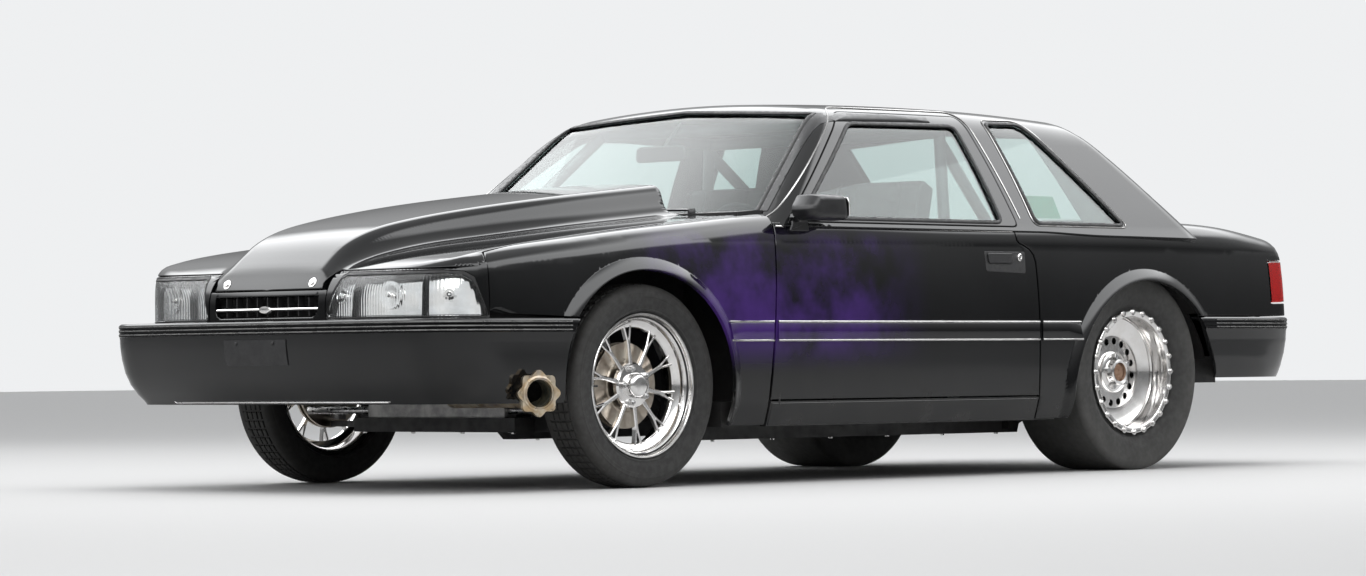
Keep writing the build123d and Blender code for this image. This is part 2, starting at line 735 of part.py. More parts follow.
def frame_rails():
    path = [
        (RAIL_FRONT_X, FRONT_RAIL_Z + RAIL_HEIGHT),
        (RAIL_FRONT_X, FRONT_RAIL_Z),
        (960, FRONT_RAIL_Z),
        (740, RAIL_FOOT_Z),
        (-985, RAIL_FOOT_Z),
        (-1085, REAR_RAIL_Z),
        (-1545, REAR_RAIL_Z),
        (-1640, 310),
        (RAIL_REAR_X, 310),
        (RAIL_REAR_X, TRUNK_WELL_Z),
        (-1600, TRUNK_WELL_Z),
        (-1520, TRUNK_Z),
        (-1010, TRUNK_Z),
        (-900, FLOOR_Z),
        (FIREWALL_X + SHEET, FLOOR_Z),
        (900, FRONT_RAIL_Z + RAIL_HEIGHT),
    ]
    rail = prism(path, in_xz, RAIL_INNER, RAIL_OUTER)
    beam = box(RAIL_FRONT_X, RAIL_FRONT_X + 40, -640, 640, FRONT_RAIL_Z, FRONT_RAIL_Z + RAIL_HEIGHT)
    rear = box(RAIL_REAR_X - 40, RAIL_REAR_X, -600, 600, 340, TRUNK_WELL_Z)
    return rail + mirror(rail, about=Plane.XZ) + beam + rear


def kingpin_y(z):
    return KINGPIN_Y - (z - FRONT_HUB_Z) * tan(radians(KINGPIN_LEAN))


STRUT_ROD = 11
STRUT_FIT = 0.5


def inner_fenders():
    wall = box(FIREWALL_X + SHEET, SUPPORT_X, RAIL_OUTER, RAIL_OUTER + APRON_SHEET, FRONT_RAIL_Z, APRON_Z)
    top = box(FIREWALL_X + 75, SUPPORT_X, RAIL_OUTER, FAR, APRON_Z, APRON_Z + APRON_SHEET)
    top -= rod(
        (FRONT_AXLE_X, kingpin_y(600), 600), (FRONT_AXLE_X, kingpin_y(800), 800), STRUT_ROD + STRUT_FIT
    )
    return both_sides((wall + top) & lower_body(FENDER_WALL))


def crossmember():
    beam = box(1240, 1500, -390, 390, 180, 227)
    leg = box(1290, 1410, 380, RAIL_OUTER, 180, FRONT_RAIL_Z)
    return beam + leg + mirror(leg, about=Plane.XZ)


def suspension_arms():
    front = prism([(1290, 455), (1410, 455), (1350, 676), (1312, 676)], in_xy, 194, 214)
    link = prism([(-900, 150), (-900, 190), (-1205, 312), (-1240, 312), (-1240, 276)], in_xz, 455, 485)
    return [*both_sides(front), *both_sides(link)]


def coilovers():
    shock = rod((REAR_AXLE_X, 340, 400), (REAR_AXLE_X, 340, TRUNK_Z), 34)
    return both_sides(shock)


def rear_axle():
    tube = drum(REAR_AXLE_X, -640, 640, REAR_HUB_Z, 38)
    case = drum(REAR_AXLE_X, -85, 85, REAR_HUB_Z, 125)
    nose = rod((REAR_AXLE_X, 0, SHAFT_Z), (-1040, 0, SHAFT_Z), 58)
    axle = tube + case + nose
    for side in (-1, 1):
        axle += drum(REAR_AXLE_X, *sorted((side * 600, side * 640)), REAR_HUB_Z, 80)
        axle += drum(REAR_AXLE_X, *sorted((side * 600, side * 730)), REAR_HUB_Z, SPINDLE_RADIUS)
        seat = box(REAR_AXLE_X - 30, REAR_AXLE_X + 30, 310, 370, 340, 400)
        foot = box(REAR_AXLE_X - 18, REAR_AXLE_X + 17, 455, 485, 312, 350)
        for bracket in (seat, foot):
            axle += bracket if side > 0 else mirror(bracket, about=Plane.XZ)
    return axle


def engine_block():
    block = box(900, 1560, -255, 255, 300, 790)
    pan = box(920, 1225, -130, 130, 190, 300)
    mounts = box(1260, 1330, -220, -150, 227, 300) + box(1260, 1330, 150, 220, 227, 300)
    return block + pan + mounts


def transmission():
    bell = rod((900, 0, SHAFT_Z), (790, 0, SHAFT_Z), 145)
    case = rod((790, 0, SHAFT_Z), (200, 0, SHAFT_Z), 105)
    return bell + case


def driveshaft():
    return rod((200, 0, SHAFT_Z), (-1040, 0, SHAFT_Z), 40)


def radiator():
    return box(SUPPORT_X - 40, SUPPORT_X, -370, 370, 445, 690)


def fuel_tank():
    return box(TAIL_X + 161, -1660, -RAIL_INNER + 5, RAIL_INNER - 5, 300, TRUNK_WELL_Z)


def rack_housing():
    housing = box(1434, 1488, -330, 330, 227, 279)
    return housing - drum(STEER_X, -400, 400, RACK_Z, RACK_RADIUS + RACK_CLEARANCE)


STEER_X = FRONT_AXLE_X + STEER_ARM


def tie_rods():
    bar = drum(STEER_X, -KINGPIN_Y - 15, KINGPIN_Y + 15, RACK_Z, RACK_RADIUS)
    return bar


def knuckle():
    """Upright with its strut, spindle, steering arm and caliper, for the left side."""
    low, high, top = 222, 640, APRON_Z + 30
    x, z = FRONT_AXLE_X, FRONT_HUB_Z
    body = rod((x, kingpin_y(low), low), (x, kingpin_y(high), high), 27)
    body += rod((x, kingpin_y(high), high), (x, kingpin_y(top), top), STRUT_ROD)
    body += drum(x, KINGPIN_Y, 680, z, 45)
    body += drum(x, KINGPIN_Y, 762, z, SPINDLE_RADIUS)
    arm_foot = RACK_Z + RACK_RADIUS + ARM_CLEARANCE
    body += box(x, STEER_X + 18, KINGPIN_Y - 14, KINGPIN_Y + 14, arm_foot, arm_foot + 22)
    body += box(x - 165, x - 95, KINGPIN_Y + 15, 689, z - 60, z + 60)
    body += box(x - 110, x, KINGPIN_Y - 2, 665, z - 25, z + 25)
    return body


def brake_disc():
    y_in, y_out, hat = 695, 695 + DISC_THICKNESS, 735
    bore = SPINDLE_RADIUS + SPINDLE_CLEARANCE
    ring = turned(
        [
            (bore, y_out - 8),
            (70, y_out - 8),
            (70, y_in),
            (DISC_DIAMETER / 2, y_in),
            (DISC_DIAMETER / 2, y_out),
            (78, y_out),
            (78, hat),
            (bore, hat),
        ]
    )
    return ring.translate((FRONT_AXLE_X, 0, FRONT_HUB_Z))


def rim(radius, width, centre_y, wall=8):
    """Wheel barrel with a flange at each side, and a stepped outer lip."""
    low, high = centre_y - width / 2, centre_y + width / 2
    seat = radius - 17
    points = [
        (seat - wall, low),
        (radius, low),
        (radius, low + 11),
        (seat, low + 15),
        (seat, high - 15),
        (radius, high - 11),
        (radius, high),
        (radius - 12, high),
        (seat - wall, high - 22),
    ]
    return turned(points)


def tyre(radius, width, centre_y, rim_radius, rim_width):
    low, high = centre_y - width / 2, centre_y + width / 2
    bead_low, bead_high = centre_y - rim_width / 2, centre_y + rim_width / 2
    seat = rim_radius - 17 + RIM_FIT
    bulge = (radius + rim_radius) / 2
    points = [
        (seat, bead_low + 15.5),
        (rim_radius + 0.5, bead_low + 11.5),
        (rim_radius + 2, min(bead_low, low + 12)),
        (bulge - 20, low),
        (bulge + 20, low),
        (radius - TYRE_SHOULDER * 0.35, low + TYRE_SHOULDER * 0.45),
        (radius, low + TYRE_SHOULDER),
        (radius, high - TYRE_SHOULDER),
        (radius - TYRE_SHOULDER * 0.35, high - TYRE_SHOULDER * 0.45),
        (bulge + 20, high),
        (bulge - 20, high),
        (rim_radius + 2, max(bead_high, high - 12)),
        (rim_radius + 0.5, bead_high - 11.5),
        (seat, bead_high - 15.5),
    ]
    return turned(points)


# One front spoke seen from the side: distance from the hub, and half-split. It forks outwards.
FRONT_SPOKE = [(40, -10), (112, -8), (214, -40), (214, -25), (128, 0), (214, 25), (214, 40), (112, 8), (40, 10)]


def front_wheel():
    radius, width = FRONT_RIM_DIAMETER / 2, FRONT_RIM_WIDTH
    face_low, face_high = 752, 772
    wheel = rim(radius, width, FRONT_TYRE_Y)
    spoke = prism(FRONT_SPOKE, in_xz, face_low, face_high)
    for turn in range(SPOKE_COUNT):
        wheel += spoke.rotate(Axis.Y, turn * 360 / SPOKE_COUNT)
    wheel += turned([(0, 735), (HUB_RADIUS, 735), (HUB_RADIUS, 775), (34, 800), (0, 800)])
    wheel -= turned([(0, 700), (SPINDLE_RADIUS + SPINDLE_CLEARANCE, 700)] + [
        (SPINDLE_RADIUS + SPINDLE_CLEARANCE, 764), (0, 764)])
    return wheel.translate((FRONT_AXLE_X, 0, FRONT_HUB_Z))


def rear_wheel():
    radius, width = REAR_RIM_DIAMETER / 2, REAR_RIM_WIDTH
    wheel = rim(radius, width, REAR_TYRE_Y)
    wheel += turned([(0, 700), (radius - 20, 700), (radius - 20, 714), (70, 714), (60, 750), (0, 750)])
    hole = drum(132, 600, 800, 0, 17)
    for turn in range(REAR_SPOKE_COUNT):
        wheel -= hole.rotate(Axis.Y, turn * 360 / REAR_SPOKE_COUNT)
    wheel -= drum(0, 600, 732, 0, SPINDLE_RADIUS + SPINDLE_CLEARANCE)
    return wheel.translate((REAR_AXLE_X, 0, REAR_HUB_Z))


def front_tyre():
    ring = tyre(
        FRONT_TYRE_DIAMETER / 2, FRONT_TYRE_WIDTH, FRONT_TYRE_Y, FRONT_RIM_DIAMETER / 2, FRONT_RIM_WIDTH
    )
    return ring.translate((FRONT_AXLE_X, 0, FRONT_HUB_Z))


def rear_tyre():
    ring = tyre(REAR_TYRE_DIAMETER / 2, REAR_TYRE_WIDTH, REAR_TYRE_Y, REAR_RIM_DIAMETER / 2, REAR_RIM_WIDTH)
    return ring.translate((REAR_AXLE_X, 0, REAR_HUB_Z))


# Inside the cabin
SEAT_Y = 370
SEAT_HALF = 205
WHEEL_CENTRE = (340, SEAT_Y, 780.5)


def dashboard():
    points = [(FIREWALL_X, 866), (430, 850), (392, 740), (470, 600), (FIREWALL_X, 600)]
    panel = prism(points, in_xz, -740, 740)
    column = rod((470, SEAT_Y, 720), WHEEL_CENTRE, 20)
    for start, end in CAGE_BARS[2:4]:
        bar = rod(start, end, CAGE_RADIUS + 4) + Pos(*start) * Sphere(CAGE_RADIUS + 4)
        panel = panel - bar - mirror(bar, about=Plane.XZ)
    return panel + column


def steering_wheel():
    plane = Plane(origin=WHEEL_CENTRE, z_dir=Vector(*WHEEL_CENTRE) - Vector(470, SEAT_Y, 720))
    hoop = plane * Torus(172, 14)
    hub = extrude(plane * Circle(38), amount=20)
    for turn in (90, 210, 330):
        bar = plane * Rot(0, 0, turn) * Pos(95, 0, 8) * Box(160, 26, 5)
        hub += bar
    return hoop + hub


def seat():
    """Racing bucket: a low cushion with raised sides, and a tall back."""
    low = FLOOR_Z + SHEET + 0.3
    base = prism([(-230, low), (-320, 420), (200, 430), (230, low)], in_xz, -SEAT_HALF, SEAT_HALF)
    base -= box(-210, 400, -160, 160, 330, FAR)
    back = prism([(-230, low), (-400, 1010), (-310, 1050), (-130, low)], in_xz, -SEAT_HALF, SEAT_HALF)
    return (base + back).translate((0, SEAT_Y, 0))


CAGE_RADIUS = 21
HOOP_Z = HEIGHT - 111
# Cage bars on the left: start, then end
CAGE_BARS = [
    ((-440, 620, 216), (-440, 560, HOOP_Z)),
    ((-440, 560, HOOP_Z), (150, 530, HOOP_Z + 15)),
    ((150, 530, HOOP_Z + 15), (560, 675, 840)),
    ((560, 675, 840), (600, 670, 216)),
    ((-440, 600, 560), (588, 672, 400)),
    ((-440, 560, HOOP_Z - 30), (-1180, 430, 541)),
]


def roll_cage():
    cage = rod((-440, -560, HOOP_Z), (-440, 560, HOOP_Z), CAGE_RADIUS)
    cage += rod((150, -530, HOOP_Z + 15), (150, 530, HOOP_Z + 15), CAGE_RADIUS)
    cage += rod((-440, -598, 560), (-440, 598, 560), CAGE_RADIUS)
    for start, end in CAGE_BARS:
        bar = rod(start, end, CAGE_RADIUS) + Pos(*end) * Sphere(CAGE_RADIUS) if end[2] > 600 else rod(
            start, end, CAGE_RADIUS
        )
        cage += bar
        cage += mirror(bar, about=Plane.XZ)
    cage -= box(-FAR, -1000, -FAR, FAR, 0, TRUNK_Z + SHEET)
    return cage & box(-FAR, FAR, -FAR, FAR, FLOOR_Z + SHEET, FAR) & cabin_room()


def cabin_room():
    return box(-FAR, FAR, -FLOOR_HALF, FLOOR_HALF, 0, BELT_Z) + cabin(ROOF_WALL)


os.makedirs("parts", exist_ok=True)

save("floor_pan", floor_pan())
save("firewall", firewall())
save("frame_rails", frame_rails())
save("inner_fenders", inner_fenders())
save("radiator_support", radiator_support())
save("radiator", radiator())
save("front_crossmember", crossmember())
save("suspension_arms", suspension_arms())
save("coilovers", coilovers())
save("rear_axle", rear_axle())
save("engine_block", engine_block())
save("transmission", transmission())
save("driveshaft", driveshaft())
save("fuel_tank", fuel_tank())
save("rack_housing", rack_housing())
save("tie_rods", tie_rods())
save("exhaust_outlet", exhaust_outlet())

save("front_fenders", fenders())
save("quarter_panels", quarter_panels())
save("roof", roof())
save("package_shelf", shelf())
save("tail_panel", tail_panel())
save("tail_lamps", tail_lamps())
save("front_bumper_cover", front_cover())
save("rear_bumper_cover", cover(REAR_COVER_PLAN, REAR_COVER_SIDE, REAR_OPENING))
save("nose_panel", nose_panel())
save("headlamps", headlamps())
save("fixed_glass", fixed_glass())
save("hood", hood())
save("decklid", decklid())

for name, shape in (("door", door()), ("door_glass", door_glass()), ("door_mirror", door_mirror())):
    left, right = both_sides(shape)
    save(f"{name}_left", left)
    save(f"{name}_right", right)

for name, shape in (
    ("knuckle", knuckle()),
    ("brake_disc", brake_disc()),
    ("front_wheel", front_wheel()),
    ("front_tyre", front_tyre()),
    ("rear_wheel", rear_wheel()),
    ("rear_tyre", rear_tyre()),
):
    left, right = both_sides(shape)
    save(f"{name}_left", left)
    save(f"{name}_right", right)

save("dashboard", dashboard())
save("steering_wheel", steering_wheel())
save("seats", both_sides(seat()))
save("roll_cage", roll_cage())
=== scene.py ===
"""Looks of the pony car: panels, glass, wheels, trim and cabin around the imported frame."""
import math

import bmesh
import bpy
import numpy as np
from mathutils import Matrix, Vector
from mathutils.geometry import delaunay_2d_cdt


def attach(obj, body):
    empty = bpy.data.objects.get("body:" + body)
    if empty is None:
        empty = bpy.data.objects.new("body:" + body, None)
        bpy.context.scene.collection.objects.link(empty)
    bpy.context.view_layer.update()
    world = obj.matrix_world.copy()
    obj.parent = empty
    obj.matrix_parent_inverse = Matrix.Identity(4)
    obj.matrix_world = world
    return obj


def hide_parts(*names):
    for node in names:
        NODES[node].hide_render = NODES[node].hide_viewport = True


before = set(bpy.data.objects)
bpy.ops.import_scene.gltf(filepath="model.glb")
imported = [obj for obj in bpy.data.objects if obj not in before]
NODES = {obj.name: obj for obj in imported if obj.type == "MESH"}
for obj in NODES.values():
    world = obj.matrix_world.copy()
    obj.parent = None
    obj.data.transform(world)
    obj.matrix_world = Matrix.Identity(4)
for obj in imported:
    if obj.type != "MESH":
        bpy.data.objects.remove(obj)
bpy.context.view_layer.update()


# Camera

CAMERA_PLACE = (11.7094, 10.95, 0.3925)
CAMERA_RIGHT = (-0.69234, 0.72151, -0.00918)
CAMERA_UP = (0.00611, 0.01858, 0.99981)
LENS_MM = 118.577
SENSOR_MM = 36.0


def camera():
    data = bpy.data.cameras.new("camera")
    data.lens, data.sensor_width = LENS_MM, SENSOR_MM
    data.clip_start, data.clip_end = 0.1, 200
    right, up = Vector(CAMERA_RIGHT), Vector(CAMERA_UP)
    turn = Matrix((right, up, right.cross(up))).transposed().to_4x4()
    eye = bpy.data.objects.new("camera", data)
    eye.matrix_world = Matrix.Translation(CAMERA_PLACE) @ turn
    bpy.context.scene.collection.objects.link(eye)
    bpy.context.scene.camera = eye


# Nodes of a material, of the world and of the trees that make copies

def put(tree, kind, inputs=None, **settings):
    """A new node, its settings and its inputs: a socket is linked, anything else is a value."""
    node = tree.nodes.new(kind)
    for key, value in settings.items():
        setattr(node, key, value)
    for key, value in (inputs or {}).items():
        if isinstance(value, bpy.types.NodeSocket):
            tree.links.new(value, node.inputs[key])
        else:
            node.inputs[key].default_value = value
    return node


def maths(tree, operation, first, second=0.0, clamp=False):
    node = put(tree, "ShaderNodeMath", {0: first, 1: second}, operation=operation, use_clamp=clamp)
    return node.outputs[0]


def ramp(tree, value, low, high, to_low=0.0, to_high=1.0):
    """The value carried from one range to another, held at its ends."""
    limits = {"Value": value, "From Min": low, "From Max": high, "To Min": to_low, "To Max": to_high}
    return put(tree, "ShaderNodeMapRange", limits, interpolation_type="SMOOTHSTEP").outputs[0]


def noise(tree, place, scale, detail=3.0):
    inputs = {"Vector": place, "Scale": scale, "Detail": detail, "Roughness": 0.55}
    return put(tree, "ShaderNodeTexNoise", inputs).outputs[0]


def blend_colour(tree, share, first, second):
    node = put(tree, "ShaderNodeMix", data_type="RGBA")
    for socket, value in ((0, share), (6, first), (7, second)):
        if isinstance(value, bpy.types.NodeSocket):
            tree.links.new(value, node.inputs[socket])
        else:
            node.inputs[socket].default_value = value
    return node.outputs[2]


def grey(level, warm=0.0):
    return (level * (1 + warm), level, level * (1 - warm))


# Stage

FLOOR_HALF = 60.0
FLOOR_COLOUR = (0.6, 0.6, 0.6, 1)
SKY_COLOUR = (0.86, 0.87, 0.88, 1)
# Strength of the light that the sky gives to what isn't a reflection
SKY_STRENGTH = 0.42
# Name, place, aim, size and power
LIGHTS = (
    ("light_above", (0.4, 0.6, 6.5), (0, 0, 0.6), 7.0, 420),
    ("light_front", (8.5, 6.0, 4.5), (1.0, 0, 0.6), 4.0, 190),
    ("light_rear", (-7.5, 3.5, 4.0), (-1.0, 0, 0.7), 4.0, 120),
    ("light_far", (1.0, -8.0, 4.5), (0, 0, 0.6), 5.0, 110),
)


def sky():
    world = bpy.data.worlds.new("studio")
    bpy.context.scene.world = world
    world.use_nodes = True
    tree = world.node_tree
    tree.nodes.clear()
    path = put(tree, "ShaderNodeLightPath").outputs
    way = put(tree, "ShaderNodeTexCoord").outputs["Generated"]
    height = put(tree, "ShaderNodeSeparateXYZ", {0: way}).outputs[2]
    # Reflections see a studio that is dim near the floor and bright above
    softbox = maths(tree, "MULTIPLY", ramp(tree, height, 0.36, 0.5),
                    ramp(tree, height, 0.84, 0.72, 0.0, 4.0))
    above = maths(tree, "ADD", ramp(tree, height, 0.02, 0.5, 0.2, 1.1), softbox)
    mirrored_sky = maths(tree, "SUBTRACT", above, SKY_STRENGTH)
    mirrored_sky = maths(tree, "MULTIPLY", path["Is Glossy Ray"], mirrored_sky)
    strength = maths(tree, "ADD", mirrored_sky, SKY_STRENGTH)
    seen = maths(tree, "ADD", path["Is Camera Ray"], path["Is Transmission Ray"], True)
    rest = maths(tree, "SUBTRACT", 1.0, strength)
    strength = maths(tree, "ADD", strength, maths(tree, "MULTIPLY", seen, rest))
    shader = put(tree, "ShaderNodeBackground", {"Color": SKY_COLOUR, "Strength": strength})
    out = put(tree, "ShaderNodeOutputWorld")
    tree.links.new(shader.outputs[0], out.inputs[0])


def ground():
    mesh = bpy.data.meshes.new("floor")
    s = FLOOR_HALF
    mesh.from_pydata([(-s, -s, 0), (s, -s, 0), (s, s, 0), (-s, s, 0)], [], [(0, 1, 2, 3)])
    floor = bpy.data.objects.new("floor", mesh)
    bpy.context.scene.collection.objects.link(floor)
    mesh.materials.append(plain("studio_floor", FLOOR_COLOUR, 0.75))


def lights():
    for name, place, aim, size, power in LIGHTS:
        data = bpy.data.lights.new(name, "AREA")
        data.shape, data.size, data.energy = "SQUARE", size, power
        lamp = bpy.data.objects.new(name, data)
        lamp.visible_glossy = False
        lamp.location = place
        lamp.rotation_euler = (Vector(aim) - Vector(place)).to_track_quat("-Z", "Y").to_euler()
        bpy.context.scene.collection.objects.link(lamp)


def stage():
    bpy.context.scene.view_settings.view_transform = "Standard"
    sky()
    ground()
    lights()


# Materials

def plain(name, colour, roughness, metallic=0.0):
    made = bpy.data.materials.new(name)
    made.use_nodes = True
    shader = made.node_tree.nodes["Principled BSDF"]
    shader.inputs["Base Color"].default_value = colour
    shader.inputs["Roughness"].default_value = roughness
    shader.inputs["Metallic"].default_value = metallic
    return made


class Finish:
    """A material whose colour, roughness and relief vary over the object's own coordinates."""

    def __init__(self, name, roughness=0.5, **sockets):
        self.made = bpy.data.materials.new(name)
        self.made.use_nodes = True
        self.tree = self.made.node_tree
        self.shader = self.tree.nodes["Principled BSDF"]
        self.set(Roughness=roughness)
        for key, value in sockets.items():
            self.shader.inputs[key.replace("_", " ")].default_value = value
        self.place = put(self.tree, "ShaderNodeTexCoord").outputs["Object"]
        split = put(self.tree, "ShaderNodeSeparateXYZ", {0: self.place})
        self.x, self.y, self.z = split.outputs

    def set(self, **sockets):
        for key, value in sockets.items():
            socket = self.shader.inputs[key.replace("_", " ")]
            if isinstance(value, bpy.types.NodeSocket):
                self.tree.links.new(value, socket)
            else:
                socket.default_value = value
        return self

    def noise(self, scale, detail=3.0):
        return noise(self.tree, self.place, scale, detail)

    def colours(self, first, second, scale, low=0.35, high=0.65):
        share = ramp(self.tree, self.noise(scale), low, high)
        return blend_colour(self.tree, share, (*first, 1), (*second, 1))

    def rough(self, low, high, scale):
        return self.set(Roughness=ramp(self.tree, self.noise(scale), 0.3, 0.7, low, high))

    def relief(self, height, depth, strength=1.0):
        """Bump of a height from 0 to 1, as deep as the depth in metres."""
        inputs = {"Height": height, "Distance": depth, "Strength": strength}
        bump = put(self.tree, "ShaderNodeBump", inputs)
        self.tree.links.new(bump.outputs[0], self.shader.inputs["Normal"])
        return self

    def radius(self, centre_x, centre_z):
        """Distance from a wheel's axle."""
        t = self.tree
        across = maths(t, "SUBTRACT", self.x, centre_x)
        up = maths(t, "SUBTRACT", self.z, centre_z)
        square = maths(t, "ADD", maths(t, "MULTIPLY", across, across), maths(t, "MULTIPLY", up, up))
        return maths(t, "SQRT", square)


def body_paint():
    f = Finish("gloss_black_paint", 0.06)
    t = f.tree
    black = f.colours((0.0035, 0.0038, 0.0042), (0.0065, 0.0068, 0.0075), 2.0)
    # A painted purple reflection lies over the left front fender and the front of the left door, put into the
    # paint's colour
    along = maths(t, "MULTIPLY", ramp(t, f.x, -0.05, 0.48), ramp(t, f.x, 1.44, 1.12))
    up = maths(t, "MULTIPLY", ramp(t, f.z, 0.36, 0.52), ramp(t, f.z, 0.86, 0.78))
    painted_reflection = maths(t, "MULTIPLY", maths(t, "MULTIPLY", along, up), ramp(t, f.y, 0.55, 0.8))
    painted_reflection = maths(t, "MULTIPLY", painted_reflection, ramp(t, f.noise(4.0, 4.0), 0.3, 0.62))
    violet = blend_colour(t, painted_reflection, black, (0.06, 0.022, 0.17, 1))
    # Dust lies low on the sides
    low = maths(t, "MULTIPLY", ramp(t, f.z, 0.48, 0.18), ramp(t, f.noise(9.0, 6.0), 0.42, 0.75))
    dusty = blend_colour(t, maths(t, "MULTIPLY", low, 0.25), violet, (0.06, 0.057, 0.052, 1))
    f.set(Base_Color=dusty, Roughness=ramp(t, low, 0.0, 1.0, 0.06, 0.4), Specular_IOR_Level=0.45)
    return f.relief(f.noise(420.0, 1.0), 0.00001).made


def mottled(name, first, second, scale, gloss, relief=None, low=0.35, high=0.65, **sockets):
    """Two close colours in patches, an uneven or an even roughness, and a fine relief.
    The gloss is one roughness, or its low and high end and its scale."""
    uneven = isinstance(gloss, tuple)
    f = Finish(name, 0.5 if uneven else gloss, **sockets)
    f.set(Base_Color=f.colours(first, second, scale, low, high))
    if uneven:
        f.rough(*gloss)
    if relief:
        depth, fineness, *detail = relief
        f.relief(f.noise(fineness, *detail), depth)
    return f.made


def polished(name, level, low, high):
    """Bright metal of a brightness, with a roughness from low to high."""
    return mottled(name, grey(level, 0.01), grey(level * 0.92, 0.02), 25.0, (low, high, 18.0),
                   (0.00001, 700.0, 1.0), Metallic=1.0)


def clear(name, tint, scale, gain, roughness, bending):
    """Glass or lamp plastic that is unevenly tinted, paler by a gain in places."""
    f = Finish(name, roughness, Transmission_Weight=1.0, IOR=bending)
    share = ramp(f.tree, f.noise(scale), 0.3, 0.7)
    paler = tuple(min(1.0, c * gain) for c in tint)
    return f.set(Base_Color=blend_colour(f.tree, share, (*tint, 1), (*paler, 1))).made


def fluted_lens():
    """Clear lamp glass with upright flutes."""
    f = Finish("fluted_lamp_glass", 0.06, Transmission_Weight=1.0, IOR=1.35)
    t = f.tree
    f.set(Base_Color=f.colours((0.9, 0.92, 0.93), (0.97, 0.98, 0.98), 12.0))
    return f.relief(ramp(t, maths(t, "SINE", maths(t, "MULTIPLY", f.y, 620.0)), -1.0, 1.0), 0.0012, 0.6).made


def exhaust_metal():
    f = Finish("heated_steel", 0.35, Metallic=1.0)
    t = f.tree
    tan = f.colours((0.48, 0.36, 0.22), (0.62, 0.55, 0.44), 26.0)
    f.set(Base_Color=blend_colour(t, ramp(t, f.noise(11.0), 0.45, 0.8), tan, (0.2, 0.17, 0.24, 1)))
    return f.rough(0.25, 0.5, 40.0).relief(f.noise(400.0), 0.0001).made


def tyre_rubber(name, centre, inner, outer, dust):
    f = Finish(name, 0.8)
    t = f.tree
    out = ramp(t, f.radius(*centre), inner, outer)
    patchy = ramp(t, f.noise(9.0, 5.0), 0.25, 0.75, 0.6, 1.0)
    share = maths(t, "MULTIPLY", maths(t, "ADD", maths(t, "MULTIPLY", out, 0.7), 0.3), patchy)
    colour = blend_colour(t, share, (0.018, 0.018, 0.018, 1), dust)
    f.set(Base_Color=colour)
    return f.rough(0.72, 0.92, 50.0).relief(f.noise(500.0, 4.0), 0.0003).made


FRONT_AXLE = (1.331, 0.33)
REAR_AXLE = (-1.222, 0.3555)

PAINT = body_paint()
CHASSIS = mottled("satin_chassis_black", (0.014, 0.014, 0.015), (0.024, 0.023, 0.022), 9.0,
                  (0.38, 0.62, 30.0), (0.0002, 260.0), 0.25, 0.75)
TRIM = mottled("moulded_black_trim", (0.014, 0.014, 0.015), (0.022, 0.022, 0.023), 20.0,
               (0.42, 0.58, 60.0), (0.0001, 900.0, 1.0))
SATIN = mottled("satin_black_paint", (0.01, 0.01, 0.011), (0.016, 0.016, 0.017), 24.0,
                (0.3, 0.42, 50.0), (0.00004, 700.0, 1.0))
SEAL = mottled("seal_rubber", (0.008, 0.008, 0.009), (0.016, 0.016, 0.016), 35.0, (0.45, 0.65, 80.0))
STEEL = mottled("machined_steel", grey(0.42, 0.01), grey(0.55), 40.0, (0.22, 0.42, 60.0),
                (0.00005, 500.0), Metallic=1.0)
ALLOY = mottled("cast_alloy", grey(0.32, 0.01), grey(0.45, 0.02), 22.0, (0.42, 0.62, 50.0),
                (0.0004, 320.0), Metallic=1.0)
IRON = mottled("painted_iron", grey(0.03), grey(0.055, 0.05), 16.0, (0.5, 0.7, 40.0), (0.0005, 240.0),
               Metallic=0.4)
CAGE = mottled("grey_cage_paint", (0.3, 0.31, 0.32), (0.36, 0.37, 0.38), 10.0, (0.28, 0.42, 30.0),
               (0.00008, 300.0), Coat_Weight=0.4, Coat_Roughness=0.1)
FELT = mottled("grey_felt", (0.045, 0.046, 0.048), (0.065, 0.066, 0.068), 30.0, 0.9, (0.0003, 1200.0),
               Sheen_Weight=0.3)
SEAT = mottled("seat_cloth", (0.02, 0.02, 0.022), (0.034, 0.034, 0.036), 60.0, 0.85, (0.0003, 1500.0),
               Sheen_Weight=0.25)
DISC = mottled("scored_brake_iron", (0.36, 0.31, 0.26), (0.46, 0.42, 0.36), 18.0, (0.3, 0.45, 90.0),
               (0.0001, 260.0), Metallic=1.0)
RUSTY = mottled("rusty_hub_steel", (0.2, 0.1, 0.06), (0.34, 0.22, 0.15), 60.0, (0.45, 0.75, 80.0),
                (0.0003, 300.0), Metallic=0.6)
SOOT = mottled("sooty_steel", (0.012, 0.013, 0.009), (0.06, 0.055, 0.034), 60.0, (0.75, 0.95, 80.0))
GREEN = mottled("green_card", (0.02, 0.36, 0.18), (0.03, 0.44, 0.24), 40.0, (0.5, 0.7, 40.0))
EXHAUST = exhaust_metal()
POLISHED = polished("polished_alloy", 0.8, 0.06, 0.18)
# Bright trim, also used for strips that stand for painted highlights on the door's belt and along the side
# mouldings
BRIGHT = polished("bright_trim_and_painted_highlights", 0.86, 0.12, 0.22)
# Dull trim, also used for strips that stand for painted highlights on the bumper ribs and the front lip
DULL = polished("dull_trim_and_painted_highlights", 0.42, 0.22, 0.36)
REFLECTOR = polished("lamp_reflector", 0.92, 0.08, 0.16)
BOLT = polished("bright_bolts", 0.72, 0.12, 0.3)
GLASS = clear("window_glass", (0.55, 0.66, 0.64), 3.0, 1.03, 0.0, 1.45)
CLEAR = clear("clear_lens", (0.96, 0.97, 0.97), 8.0, 1.05, 0.02, 1.49)
RED = clear("red_lens", (0.62, 0.02, 0.015), 8.0, 1.05, 0.02, 1.49)
LAMP_LENS = fluted_lens()
FRONT_RUBBER = tyre_rubber("front_tyre_rubber", FRONT_AXLE, 0.25, 0.33, (0.045, 0.044, 0.042, 1))
REAR_RUBBER = tyre_rubber("rear_slick_rubber", REAR_AXLE, 0.24, 0.345, (0.07, 0.069, 0.066, 1))

